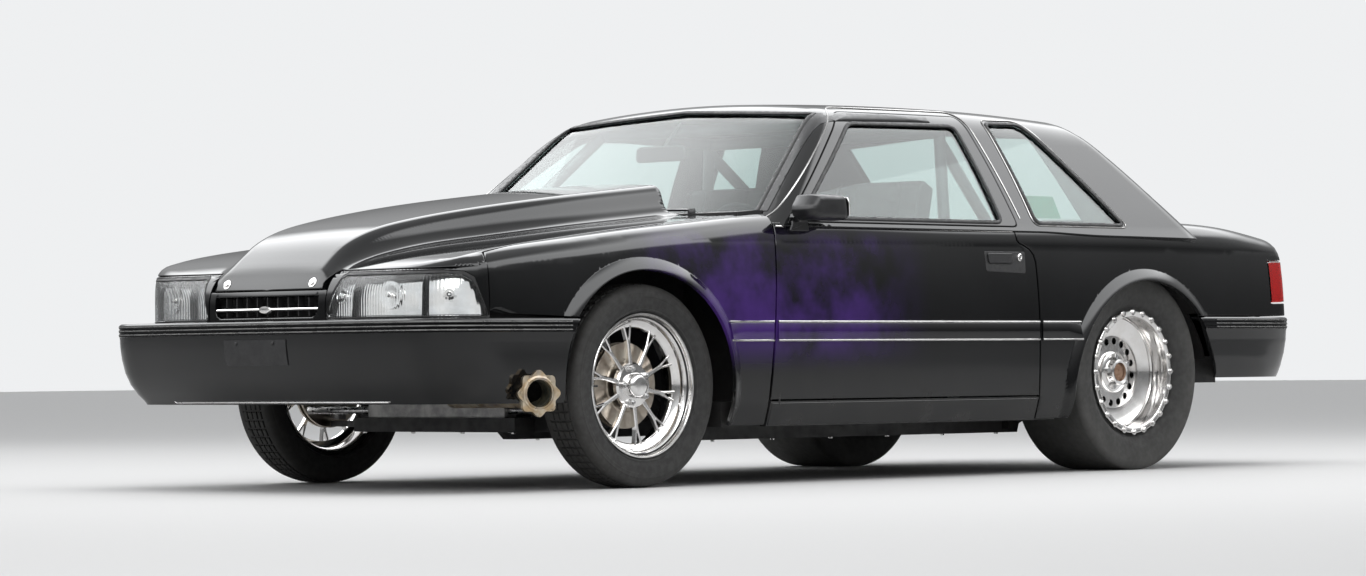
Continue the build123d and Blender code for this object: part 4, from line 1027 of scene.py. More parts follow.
def circle(radius, sides=12):
    turn = np.linspace(0, math.tau, sides, endpoint=False)
    return np.stack([radius * np.cos(turn), radius * np.sin(turn)], 1)


def bar(start, end, radius, sides=16):
    """Round bar with chamfered ends."""
    length = float(np.linalg.norm(np.subtract(end, start)))
    edge = min(radius, length) * 0.18
    profile = [(0, 0), (radius - edge, 0), (radius, edge), (radius, length - edge), (radius - edge, length),
               (0, length)]
    return lathe(profile, start, np.subtract(end, start), sides)


def inset(outline, by):
    """Closed outline moved inwards."""
    q = np.array(outline, float)
    ahead, before = np.roll(q, -1, 0) - q, q - np.roll(q, 1, 0)
    area = np.sum(q[:, 0] * np.roll(q[:, 1], -1) - q[:, 1] * np.roll(q[:, 0], -1))
    turn = math.copysign(1.0, area)
    first, second = (np.stack([-d[:, 1], d[:, 0]], 1) / np.linalg.norm(d, axis=1)[:, None]
                     for d in (ahead, before))
    step = (first + second) / np.maximum(1 + np.sum(first * second, 1), 0.3)[:, None]
    return q + by * turn * step


def slab(outline, low, high, axis=1, edge=0.0015):
    """Outline given thickness along an axis, with chamfered rims."""
    small, full = inset(outline, edge), np.array(outline, float)
    rows = [(small, low), (full, low + edge), (full, high - edge), (small, high)]
    order = {0: (2, 0, 1), 1: (0, 2, 1), 2: (0, 1, 2)}[axis]
    place = [np.column_stack([flat, np.full(len(flat), level)])[:, order] for flat, level in rows]
    return np.concatenate(place), tube_faces(4, len(full))


def drilled(loops, low, high, axis=1):
    """Plate between two levels: the first loop less the others."""
    loops = [np.array(loop, float) for loop in loops]
    flat, ties, first = np.concatenate(loops), [], 0
    for loop in loops:
        ties += [(first + i, first + (i + 1) % len(loop)) for i in range(len(loop))]
        first += len(loop)
    made = delaunay_2d_cdt([Vector(q) for q in flat], ties, [], 0, 1e-9)
    index = [o[0] for o in made[3]]
    faces = np.array([[index[v] for v in f] for f in made[2]])
    faces = faces[within(flat[faces].mean(1), loops)]
    order = {0: (2, 0, 1), 1: (0, 2, 1), 2: (0, 1, 2)}[axis]
    count = len(flat)
    place = [np.column_stack([flat, np.full(count, level)])[:, order] for level in (low, high)]
    walls = [(a, b, b + count, a + count) for a, b in ties]
    return np.concatenate(place), [tuple(f) for f in faces] + [tuple(f[::-1] + count) for f in faces] + walls


# Trees that repeat a shape

def new_tree(name, sizes):
    """Tree that takes a shape and named inputs, and gives a shape back."""
    tree = bpy.data.node_groups.new(name, "GeometryNodeTree")
    tree.interface.new_socket("Geometry", in_out="INPUT", socket_type="NodeSocketGeometry")
    for title, kind in sizes.items():
        tree.interface.new_socket(title, in_out="INPUT", socket_type=f"NodeSocket{kind}")
    tree.interface.new_socket("Geometry", in_out="OUTPUT", socket_type="NodeSocketGeometry")
    return tree, tree.nodes.new("NodeGroupInput").outputs


def close_tree(tree, instances, material):
    real = put(tree, "GeometryNodeRealizeInstances", {"Geometry": instances}).outputs[0]
    dressed = put(tree, "GeometryNodeSetMaterial", {"Geometry": real, "Material": material}).outputs[0]
    tree.links.new(dressed, tree.nodes.new("NodeGroupOutput").inputs[0])
    return tree


def round_tree():
    """Copies turned round an axle that runs along Y."""
    sizes = {"Copies": "Int", "Axle": "Vector", "Start Angle": "Float", "Material": "Material"}
    tree, given = new_tree("copies_round_an_axle", sizes)
    step = maths(tree, "DIVIDE", math.tau, given["Copies"])
    index = put(tree, "GeometryNodeInputIndex").outputs[0]
    angle = maths(tree, "ADD", maths(tree, "MULTIPLY", index, step), given["Start Angle"])
    turn = put(tree, "ShaderNodeCombineXYZ", {"Y": angle}).outputs[0]
    places = {"Count": given["Copies"], "Position": given["Axle"]}
    points = put(tree, "GeometryNodePoints", places).outputs[0]
    copies = {"Points": points, "Instance": given["Geometry"], "Rotation": turn}
    return close_tree(tree, put(tree, "GeometryNodeInstanceOnPoints", copies).outputs[0], given["Material"])


def row_tree():
    """Copies set out in a straight row."""
    sizes = {"Copies": "Int", "First": "Vector", "Step": "Vector", "Material": "Material"}
    tree, given = new_tree("copies_in_a_row", sizes)
    index = put(tree, "GeometryNodeInputIndex").outputs[0]
    reach = put(tree, "ShaderNodeVectorMath", {0: given["Step"], "Scale": index},
                operation="SCALE").outputs[0]
    place = put(tree, "ShaderNodeVectorMath", {0: given["First"], 1: reach}, operation="ADD").outputs[0]
    points = put(tree, "GeometryNodePoints", {"Count": given["Copies"], "Position": place}).outputs[0]
    copies = {"Points": points, "Instance": given["Geometry"]}
    return close_tree(tree, put(tree, "GeometryNodeInstanceOnPoints", copies).outputs[0], given["Material"])


ROUND, ROW = round_tree(), row_tree()


def closed_mesh(name, place, faces, sharp=35):
    """Mesh from closed shapes, its normals turned outwards and its sharp edges kept."""
    mesh = bpy.data.meshes.new(name)
    mesh.from_pydata([tuple(map(float, q)) for q in place], [], [tuple(map(int, f)) for f in faces])
    work = bmesh.new()
    work.from_mesh(mesh)
    bmesh.ops.remove_doubles(work, verts=work.verts, dist=1e-6)
    bmesh.ops.recalc_face_normals(work, faces=work.faces)
    work.to_mesh(mesh)
    work.free()
    mesh.shade_smooth()
    mesh.set_sharp_from_angle(angle=math.radians(sharp))
    return mesh


def repeated(name, shape, tree, values, made, body, slot, *nodes):
    """One shape and its copies, which a tree makes, as a plain piece."""
    source = bpy.data.objects.new(name + "_source", closed_mesh(name + "_source", *shape))
    bpy.context.scene.collection.objects.link(source)
    modifier = source.modifiers.new("copies", "NODES")
    modifier.node_group = tree
    for item in tree.interface.items_tree:
        if item.in_out == "INPUT" and item.name in {**values, "Material": made}:
            modifier[item.identifier] = {**values, "Material": made}[item.name]
    view = bpy.context.evaluated_depsgraph_get()
    mesh = bpy.data.meshes.new_from_object(source.evaluated_get(view))
    bpy.data.objects.remove(source)
    mesh.name = name
    return finished(name, mesh, [], body, slot, *nodes)


def solid_piece(name, place, faces, materials, body, slot, *nodes, sharp=35):
    """A piece from closed shapes."""
    return finished(name, closed_mesh(name, place, faces, sharp), materials, body, slot, *nodes)


# Half plans of the bumper covers, from the wheel to the middle line
FRONT_COVER = [
    (1.5, 0.868), (1.7, 0.865), (1.88, 0.855), (2.04, 0.839), (2.13, 0.818), (2.195, 0.78), (2.228, 0.735),
    (2.243, 0.66), (2.262, 0.45), (2.2755, 0.22), (2.2795, 0),
]
REAR_COVER = [
    (-1.5, 0.868), (-1.75, 0.862), (-1.95, 0.85), (-2.08, 0.832), (-2.165, 0.805), (-2.215, 0.765),
    (-2.238, 0.715), (-2.248, 0.64), (-2.264, 0.45), (-2.276, 0.22), (-2.2795, 0),
]
# Columns: reach outwards at the middle of the car and at the wheel, then height
BAND = [(-0.052, -0.05, 0.5475), (-0.008, -0.007, 0.5465), (-0.002, -0.002, 0.543)]
for low, high in ((0.5305, 0.5395), (0.5175, 0.5265), (0.5045, 0.5135)):
    BAND += [(0, 0, high), (0, 0, low), (-0.0025, -0.0025, low - 0.0015), (-0.0025, -0.0025, low - 0.0025)]
FRONT_SECTION = BAND + [
    (-0.003, -0.006, 0.496), (-0.004, -0.008, 0.47), (-0.009, -0.009, 0.43), (-0.02, -0.01, 0.385),
    (-0.038, -0.012, 0.345), (-0.062, -0.016, 0.312), (-0.084, -0.022, 0.29), (-0.092, -0.03, 0.279),
    (-0.1, -0.038, 0.279), (-0.078, -0.026, 0.306), (-0.05, -0.022, 0.345), (-0.03, -0.02, 0.385),
    (-0.018, -0.018, 0.43), (-0.014, -0.016, 0.5), (-0.02, -0.018, 0.535), (-0.052, -0.05, 0.538),
]
REAR_SECTION = [(a, b, z + 0.009) for a, b, z in BAND] + [
    (-0.003, -0.006, 0.505), (-0.006, -0.008, 0.47), (-0.014, -0.01, 0.42), (-0.026, -0.012, 0.375),
    (-0.036, -0.016, 0.348), (-0.044, -0.024, 0.331), (-0.052, -0.034, 0.331), (-0.04, -0.024, 0.352),
    (-0.022, -0.02, 0.42), (-0.016, -0.018, 0.5), (-0.02, -0.018, 0.544), (-0.052, -0.05, 0.547),
]


def plan_curves(half):
    """A bumper's plan from wheel to wheel: X and Y over the length along it, and that length."""
    line = np.array(half + [(x, -y) for x, y in half[-2::-1]])
    length = np.concatenate([[0], np.cumsum(np.linalg.norm(np.diff(line, axis=0), axis=1))])
    return through(zip(length, line[:, 0])), through(zip(length, line[:, 1])), length[-1]


def bumper_cover(half, section, opening):
    """Skin that follows a plan from one wheel opening round the end of the car to the other."""
    x_at, y_at, length = plan_curves(half)
    middle = length / 2
    dense = np.linspace(0, middle, 400)
    stations = 0.5 - 0.5 * np.cos(np.linspace(0, math.pi, 56))
    stations = 0.6 * stations + 0.4 * np.linspace(0, 1, 56)
    rows = np.zeros((56, len(section), 3))
    for j, (front, side, z) in enumerate(section):
        begin = np.interp(0, -np.sign(half[0][0]) * (opening(z) - x_at(dense)), dense)
        s = begin + (middle - begin) * stations
        ahead, behind = s + 0.002, s - 0.002
        along = np.stack([x_at(ahead) - x_at(behind), y_at(ahead) - y_at(behind)], 1)
        along /= np.linalg.norm(along, axis=1)[:, None]
        out = np.stack([-along[:, 1], along[:, 0]], 1) * np.sign(half[0][0])
        share = ease((x_at(s) * np.sign(half[0][0]) - 1.95) / 0.24)
        reach = side + (front - side) * share
        rows[:, j, 0] = x_at(s) + out[:, 0] * reach
        rows[:, j, 1] = y_at(s) + out[:, 1] * reach
        rows[:, j, 2] = z
    rows[-1, :, 1] = 0
    rows = np.concatenate([rows, rows[-2::-1] * (1, -1, 1)])
    return rows.reshape(-1, 3), tube_faces(len(rows), len(section))


def bumper_covers():
    def front_edge(z):
        turn = math.degrees(math.asin(np.clip((z - FRONT_ARCH[1]) / 0.395, -1, 1)))
        reach = float(front_arch_radius(turn))
        return FRONT_ARCH[0] + math.sqrt(max(reach ** 2 - (z - FRONT_ARCH[1]) ** 2, 0))

    def rear_edge(z):
        return REAR_ARCH[0] - math.sqrt(REAR_ARCH_RADIUS ** 2 - (z - REAR_ARCH[1]) ** 2)

    solid_piece("front_bumper_skin", *bumper_cover(FRONT_COVER, FRONT_SECTION, front_edge), PAINT, "root",
                "body_paint", "front_bumper_cover")
    solid_piece("rear_bumper_skin", *bumper_cover(REAR_COVER, REAR_SECTION, rear_edge), PAINT, "root",
                "body_paint", "rear_bumper_cover")


# Trim, lamps and glass

MOULD_TOP, MOULD_FOOT = 0.5355, 0.4735
BRIGHT_SECTION = [(-0.003, -0.001), (-0.003, 0.0055), (-0.0015, 0.0072), (0.0015, 0.0072), (0.003, 0.0055),
                  (0.003, -0.001)]
LINE_SECTION = [(-0.0025, -0.001), (-0.0025, 0.002), (0, 0.0035), (0.0025, 0.002), (0.0025, -0.001)]
BLACK_SECTION = [(-0.027, -0.002), (-0.027, 0.0035), (-0.024, 0.005), (0.024, 0.005), (0.027, 0.0035),
                 (0.027, -0.002)]
SEAL_SECTION = [(-0.007, -0.004), (-0.007, 0.0022), (-0.004, 0.004), (0.004, 0.004), (0.007, 0.0022),
                (0.007, -0.004)]


def lifted(form, by):
    """The form moved outwards, or inwards where the distance is negative."""
    return lambda p: form(p) - by


def on_body(form, points, section, side=on_side, closed=False):
    """A section carried along a line that lies on the form."""
    path = side(form, points)
    return swept(path, section, normals_of(form, path), closed)


def level_line(low, high, z, count):
    """Evenly spaced points at one height of a view."""
    return np.stack([np.linspace(low, high, count), np.full(count, z)], 1)


def side_line(x_low, x_high, z, section):
    return on_body(lower_form, level_line(x_low, x_high, z, max(3, int((x_high - x_low) / 0.03))), section)


def side_mouldings():
    middle = (MOULD_TOP + MOULD_FOOT) / 2
    # The runs on the fender, the door and the quarter, and whether each is the door's
    runs = ((0.772, 0.985, False), (-0.606, 0.75, True), (-0.838, -0.624, False))
    fixed_dark, fixed_bright = [], []
    for low, high, swings in runs:
        dark = side_line(low, high, middle, BLACK_SECTION)
        # The bright lines along the top and the foot of each moulding are painted highlights: metal strips
        # that stand for the sky caught on the moulding's bevelled edges
        bright = [side_line(low, high, z, BRIGHT_SECTION) for z in (MOULD_TOP, MOULD_FOOT)]
        if not swings:
            fixed_dark.append(on_both(dark))
            fixed_bright += [on_both(line) for line in bright]
            continue
        for side, hand, _ in HANDS:
            solid_piece(f"door_{side}_moulding", *hand(dark), PAINT, f"door_{side}", "trim_black")
            # The bright line along the door's belt is a painted highlight: a metal strip where the shoulder
            # under the glass catches the sky
            belt = on_body(lower_form, spaced([(-0.505, 0.853), (0.715, 0.853)], 0.03), LINE_SECTION)
            solid_piece(f"door_{side}_bright_lines", *hand(joined(*bright, belt)), BRIGHT, f"door_{side}",
                        "polished_wheel")
    solid_piece("side_mouldings", *joined(*fixed_dark), PAINT, "root", "trim_black")
    solid_piece("side_bright_lines", *joined(*fixed_bright), BRIGHT, "root", "polished_wheel")


def sills():
    outline = spaced([(0.776, 0.191), (0.776, 0.269), (-0.61, 0.269), (-0.61, 0.191)], closed=True)
    form = lifted(lower_form, 0.002)
    built = shell(form, [on_side(form, outline)], on_side(form, grid((-0.6, 0.2), (0.77, 0.262), 0.02)),
                  SIDE_VIEW, 0.006)
    mesh_piece("sill_skins", [built, mirrored(built)], PAINT, "root", "body_paint")


def window_trim():
    """Seals and bright lines round the glass."""
    glass_seal = on_body(cabin_form, ring(DOOR_GLASS), SEAL_SECTION, closed=True)
    for side, hand, _ in HANDS:
        solid_piece(f"door_{side}_glass_seal", *hand(glass_seal), SEAL, f"door_{side}", "trim_black")
    rail = rounded([(0.7, 0.874), (0.172, 1.281), (-0.49, 1.283), (-0.566, 0.884)], 0.05)[5:-5]
    drip = on_body(cabin_form, spaced([(0.693, 0.88), *rail, (-0.566, 0.9)]), LINE_SECTION)
    quarter = ring(QUARTER_GLASS)
    quarter_seal = on_body(cabin_form, quarter, SEAL_SECTION, closed=True)
    outer = ring([(-0.588, 1.258), (-0.806, 1.262), (-1.172, 0.876), (-0.634, 0.876)], 0.035)
    quarter_line = on_body(cabin_form, outer, LINE_SECTION, closed=True)
    screen = [(a * 1.004, b) for a, b in WINDSCREEN]
    front_half = on_front(cabin_form, spaced(screen))
    rear_half = on_rear(cabin_form, spaced(BACKLIGHT))
    seals = []
    for half in (front_half, rear_half):
        path = both_halves(half)
        wide = [(a * 1.3, b) for a, b in SEAL_SECTION]
        seals.append(swept(path, wide, normals_of(cabin_form, path), True))
    pillar_form = lifted(cabin_form, 0.002)
    pillar = [(0.712, 0.907), (0.748, 0.907), (0.64, 1.24), (0.634, 1.262), (0.596, 1.256)]
    loop = settle(pillar_form, on_front(cabin_form, spaced(pillar, closed=True)))
    points = on_front(cabin_form, grid((0.6, 0.91), (0.745, 1.26), 0.012))
    built = shell(pillar_form, [loop], settle(pillar_form, points), cabin_view, 0.004, 0.0, 0.001)
    mesh_piece("pillar_mouldings", [built, mirrored(built)], SATIN, "root", "trim_black")
    solid_piece("screen_seals", *joined(*seals, on_both(quarter_seal)), SEAL, "root", "trim_black")
    solid_piece("window_bright_lines", *joined(on_both(drip), on_both(quarter_line)), DULL, "root",
                "polished_wheel")


def panes():
    """Glass just inside the frames."""
    form = lifted(cabin_form, -0.007)

    def pane(loop, points, view):
        return shell(form, [settle(form, loop)], settle(form, points), view, 0.005, 0.0004, 0.001)

    door = pane(on_side(cabin_form, ring(DOOR_GLASS)),
                on_side(cabin_form, grid((-0.46, 0.89), (0.58, 1.23), 0.03)), SIDE_VIEW)
    for side, _, flip in HANDS:
        mesh_piece(f"door_glass_{side}_pane", [flip(door)], GLASS, f"door_{side}", "window_glass",
                   f"door_glass_{side}")
    quarter = pane(on_side(cabin_form, ring(QUARTER_GLASS)),
                   on_side(cabin_form, grid((-1.15, 0.89), (-0.6, 1.25), 0.03)), SIDE_VIEW)
    front = pane(both_halves(on_front(cabin_form, spaced(WINDSCREEN))),
                 on_front(cabin_form, grid((-0.7, 0.91), (0.7, 1.28), 0.03)), cabin_view)
    rear = pane(both_halves(on_rear(cabin_form, spaced(BACKLIGHT))),
                on_rear(cabin_form, grid((-0.59, 0.92), (0.59, 1.26), 0.03)), cabin_view)
    mesh_piece("fixed_glass_panes", [front, rear, quarter, mirrored(quarter)], GLASS, "root",
               "window_glass", "fixed_glass")
    # A blank green patch is fixed inside the left quarter window
    patch_form = lifted(cabin_form, -0.0135)
    patch = on_side(patch_form, spaced([(-0.668, 0.904), (-0.662, 0.984), (-0.815, 0.984), (-0.815, 0.904)],
                                       closed=True))
    built = shell(patch_form, [patch], on_side(patch_form, grid((-0.8, 0.92), (-0.68, 0.97), 0.02)),
                  SIDE_VIEW, 0.001, 0.0, 0.001)
    mesh_piece("quarter_window_patch", [built], GREEN, "root", "trim_black")


def lamp_outline(grow=0.0, top=0.0):
    """Outline of the left headlamp, seen across the corner of the nose."""
    low, high, inner = 0.5545 - grow, 0.688 + grow + top, 0.2935 - grow
    outer_low, outer_high = 2.003 - grow, 2.052 - grow - top
    rough = [(outer_low, 0.8, low), (outer_low + 0.004, 0.79, low + 0.03),
             (outer_high - 0.014, 0.76, high - 0.022), (outer_high + 0.01, 0.74, high - 0.004),
             (2.1, 0.7, high), (2.19, 0.5, high), (2.23, inner + 0.052, high),
             (2.232, inner + 0.04, high - 0.008), (2.235, inner, low + 0.012), (2.235, inner + 0.006, low),
             (2.225, 0.42, low), (2.18, 0.6, low), (2.1, 0.72, low)]
    ends = rough + rough[:1]
    line = []
    for a, b in zip(ends, ends[1:]):
        count = max(1, math.ceil(math.dist(a, b) / 0.012))
        line += [np.array(a) + (np.array(b) - np.array(a)) * i / count for i in range(count)]
    return settle(lower_form, np.array(line), 12, level=True)


def corner_points(form, y_low, y_high, z_low, z_high, step=0.014):
    return on_front(form, grid((y_low, z_low), (y_high, z_high), step))


def headlamps():
    edge = lamp_outline()
    wide = lamp_outline(0.005, 0.005)
    around = lamp_outline(0.0055, 0.0055)
    points = corner_points(lower_form, 0.28, 0.79, 0.545, 0.715)
    rim = spaced([(1.9935, 0.8, 0.5455), (1.9935, 0.79, 0.724), (2.0, 0.73, 0.71), (2.05, 0.7, 0.7025),
                  (2.11, 0.6, 0.7025), (2.14, 0.45, 0.7025), (2.15, 0.284, 0.7025), (2.236, 0.284, 0.5455),
                  (2.21, 0.5, 0.5455), (2.1, 0.7, 0.5455)], closed=True)
    rim = settle(lower_form, rim, 12, level=True)
    surround = shell(lower_form, [rim, around], points, CORNER_VIEW, 0.012, 0.0, 0.0008)
    mesh_piece("headlamp_surrounds", [surround, mirrored(surround)], PAINT, "root", "body_paint")
    bezel = shell(lower_form, [wide, edge], points, CORNER_VIEW, 0.034, 0.0006, 0.0015)
    lens_form = lifted(lower_form, -0.0015)
    lens = shell(lens_form, [settle(lens_form, edge)], settle(lens_form, points), CORNER_VIEW, 0.004,
                 0.0012, 0.0015)
    bowl_form = lifted(lower_form, -0.03)
    bowl = shell(bowl_form, [settle(bowl_form, edge)], settle(bowl_form, points), CORNER_VIEW, 0.004, 0.004,
                 0.001)
    mesh_piece("headlamp_bezels", [bezel, mirrored(bezel)], SEAL, "root", "trim_black")
    mesh_piece("headlamp_lenses", [lens, mirrored(lens)], LAMP_LENS, "root", "lamp_clear", "headlamps")
    mesh_piece("headlamp_bowls", [bowl, mirrored(bowl)], REFLECTOR, "root", "polished_wheel")
    headlamp_dividers(lens_form)
    headlamp_bulbs(bowl_form)


def headlamp_dividers(lens_form):
    """Upright walls between the three parts of each lamp."""
    walls = []
    for y, lean in ((0.392, 0.01), (0.64, 0.004)):
        z = np.linspace(0.556, 0.69, 8)
        face = on_front(lens_form, np.stack([y + lean * (z - 0.556) / 0.134, z], 1))
        for half in (-0.002, 0.002):
            walls.append(face + (0, half, 0))
    bars = []
    for first, second in ((walls[0], walls[1]), (walls[2], walls[3])):
        rows = np.stack([first - (0.006, 0, 0), second - (0.006, 0, 0), second - (0.03, 0, 0),
                         first - (0.03, 0, 0)], 1)
        bars.append((rows.reshape(-1, 3), tube_faces(len(rows), 4)))
    solid_piece("headlamp_dividers", *on_both(joined(*bars)), SEAL, "root", "trim_black")


def headlamp_bulbs(bowl_form):
    bulbs = []
    for y, radius in ((0.52, 0.045), (0.33, 0.026), (0.7, 0.022)):
        seat = on_front(bowl_form, [(y, 0.622)])[0]
        out = normals_of(lower_form, seat[None])[0]
        cup = [(radius, 0.001), (radius, 0.005), (radius * 0.8, 0.006), (radius * 0.55, 0.003),
               (radius * 0.3, 0.001), (0, 0.001), (0, 0.0005)]
        bulb = [(0, 0), (0.008, 0), (0.008, 0.014), (0.004, 0.018), (0, 0.018)]
        bulbs += [lathe(cup, seat, out, 32), lathe(bulb, seat, out, 20)]
    solid_piece("headlamp_bulbs", *on_both(joined(*bulbs)), REFLECTOR, "root", "polished_wheel")


PLATE_SCREW = [(0, 0), (0.006, 0), (0.006, 0.003), (0.004, 0.004), (0, 0.004)]


def grille():
    """The bar with its bare oval boss, and the posts and slats behind it."""
    rows = on_front(lifted(lower_form, -0.006), level_line(-0.246, 0.246, 0.5845, 21))
    section = [(-0.0035, -0.006), (-0.0035, 0.002), (0, 0.004), (0.0035, 0.002), (0.0035, -0.006)]
    bright = swept(rows, section, (1, 0, 0))
    boss = lathe([(0, -0.004), (0.03, -0.004), (0.03, 0.003), (0.026, 0.006), (0.01, 0.0075), (0, 0.0075)],
                 (0, 0, 0), (1, 0, 0), 40)
    boss = boss[0] * (1, 1, 0.42) + (2.2285, 0, 0.5835), boss[1]
    solid_piece("grille_bar", *joined(bright, boss), BRIGHT, "root", "polished_wheel")
    post = slab(box((2.196, -0.002), (2.22, 0.002)), 0.561, 0.623, 2, 0.0006)
    repeated("grille_posts", post, ROW, {"Copies": 9, "First": (0, -0.2, 0), "Step": (0, 0.05, 0)}, TRIM,
             "root", "trim_black")
    slat = slab(box((2.186, -0.252), (2.196, 0.252)), -0.0012, 0.0012, 2, 0.0004)
    repeated("grille_slats", slat, ROW, {"Copies": 9, "First": (0, 0, 0.563), "Step": (0, 0, 0.0075)}, TRIM,
             "root", "trim_black")


def hood_pins():
    pins = []
    for y in (-0.208, 0.208):
        seat = on_front(hood_form, [(y, 0.668)])[0]
        out = normals_of(hood_form, seat[None])[0]
        pins.append(lathe([(0, -0.001), (0.016, -0.001), (0.016, 0.0015), (0.0105, 0.002), (0.0105, 0.006),
                           (0.008, 0.008), (0, 0.008)], seat, out, 32))
    solid_piece("hood_pins", *joined(*pins), BRIGHT, "hood", "machined_steel")


def along_front(half_width):
    """Curves of the front cover's plan and the places on them within a distance of the middle."""
    x_at, y_at, length = plan_curves(FRONT_COVER)
    s = np.linspace(0, length, 401)
    return x_at, y_at, s[np.abs(y_at(s)) < half_width]


def lip_highlight_strip():
    """Painted highlight: a bright strip along the lip under the bumper, where the lip's edge catches the sky.
    """
    x_at, y_at, s = along_front(0.585)
    rise = 0.286 + 0.022 * ease((np.abs(y_at(s)) - 0.555) / 0.03)
    lip = np.stack([x_at(s) - 0.0855, y_at(s) * 0.93, rise], 1)
    strip = swept(lip, [(-0.003, -0.002), (-0.003, 0.003), (0, 0.005), (0.003, 0.003), (0.003, -0.002)],
                  (1, 0, -0.3))
    solid_piece("lip_highlight_strip", *strip, DULL, "root", "trim_black")


def front_plate_holder():
    """Bare place for a number plate, held by two screws."""
    x_at, y_at, s = along_front(0.155)
    rows = np.stack([x_at(s), y_at(s), np.full(len(s), 0.446)], 1)
    section = [(-0.041, -0.02), (-0.041, -0.0125), (-0.016, -0.0055), (0, -0.0035), (0.024, -0.0012),
               (0.041, -0.0008), (0.041, -0.008)]
    plate = swept(rows, section, (1, 0, 0))
    screws = [lathe(PLATE_SCREW, (2.277, y, 0.475), (1, 0, 0), 16) for y in (-0.089, 0.089)]
    solid_piece("front_plate_holder", *joined(plate, *screws), TRIM, "root", "trim_black")


def bumper_highlight_strips():
    """Painted highlights: bright strips on the upper edges of the ribs that run round both bumpers, where the
    ribs catch the sky.
    """
    for end, half, shift, reach_x in (("front", FRONT_COVER, 0.0, 1.69),
                                      ("rear", REAR_COVER, 0.009, -1.64)):
        x_at, y_at, length = plan_curves(half)
        s = np.linspace(0, length, 241)
        s = s[(x_at(s) - reach_x) * np.sign(half[0][0]) > 0]
        ribs = []
        for z in (0.5365, 0.5235, 0.5105):
            path = np.stack([x_at(s), y_at(s), np.full(len(s), z + shift)], 1)
            out = np.cross(np.gradient(path, axis=0), (0, 0, 1)) * -np.sign(half[0][0])
            out *= np.sign(np.sum(out * path, 1))[:, None]
            out /= np.linalg.norm(out, axis=1)[:, None]
            path += out * 0.0002
            ribs.append(swept(path, [(-0.0018, -0.002), (-0.0018, 0.0006), (0.0018, 0.0006),
                                     (0.0018, -0.002)], out))
        solid_piece(f"{end}_bumper_highlight_strips", *joined(*ribs), DULL, "root", "trim_black")


def tail_lamps():
    low, high = LAMP_LOW_Z + 0.003, LAMP_TOP_Z - 0.003
    rough = [(-2.0705, 0.8, low), (-2.0705, 0.79, high), (-2.19, 0.74, high), (-2.225, 0.566, high),
             (-2.225, 0.566, low), (-2.19, 0.745, low)]
    loop = []
    for a, b in zip(rough, rough[1:] + rough[:1]):
        loop += list(spaced([a, b], 0.012)[:-1])
    loop = settle(lower_form, np.array(loop))
    behind = on_rear(lower_form, grid((0.57, low), (0.8, high), 0.012))
    beside = on_side(lower_form, grid((-2.17, low), (-2.075, high), 0.012))
    points = np.concatenate([behind, beside])
    view = view_from(-0.66, 0.75, 0.05)
    lens = shell(lower_form, [loop], points, view, 0.005, 0.0008, 0.0015)
    back_form = lifted(lower_form, -0.028)
    back = shell(back_form, [settle(back_form, loop)], settle(back_form, points), view, 0.004, 0.006, 0.001)
    mesh_piece("tail_lamp_lenses", [lens, mirrored(lens)], RED, "root", "lamp_red", "tail_lamps")
    mesh_piece("tail_lamp_bowls", [back, mirrored(back)], REFLECTOR, "root", "polished_wheel")
    edge = on_body(lower_form, [(0.566, low), (0.566, high)], LINE_SECTION, on_rear)
    cap = swept(on_side(lower_form, spaced([(-2.075, high + 0.0035), (-2.15, high + 0.0035)])), LINE_SECTION,
                (0, 0.8, 0.6))
    solid_piece("tail_lamp_caps", *on_both(joined(edge, cap)), BRIGHT, "root", "trim_black")


def tail_details():
    """Lock, bare plate place and screws on the tail panel."""
    seat = on_rear(lower_form, [(0.0, 0.735)])[0]
    lock = lathe([(0, -0.002), (0.014, -0.002), (0.014, 0.003), (0.011, 0.005), (0.007, 0.005),
                  (0.006, 0.003), (0, 0.003)], seat, (-1, 0, 0), 32)
    solid_piece("boot_lock", *lock, BRIGHT, "root", "machined_steel")
    plate = slab(box((-0.155, 0.585), (0.155, 0.712)), 0, 0.004, 0, 0.0015)
    solid_piece("rear_plate_holder", plate[0] + (-2.2395, 0, 0), plate[1], TRIM, "root", "trim_black")
    screw = lathe(PLATE_SCREW, (-2.2395, 0, 0), (-1, 0, 0), 16)
    repeated("rear_plate_screws", screw, ROW, {"Copies": 2, "First": (0, -0.089, 0.7),
                                               "Step": (0, 0.178, 0)}, BOLT, "root", "machined_steel")


MIRROR_OUTLINE = [(0.458, 0.88), (0.47, 0.952), (0.484, 0.96), (0.6, 0.9615), (0.636, 0.957),
                  (0.662, 0.922), (0.667, 0.905), (0.655, 0.884), (0.628, 0.874), (0.47, 0.873)]


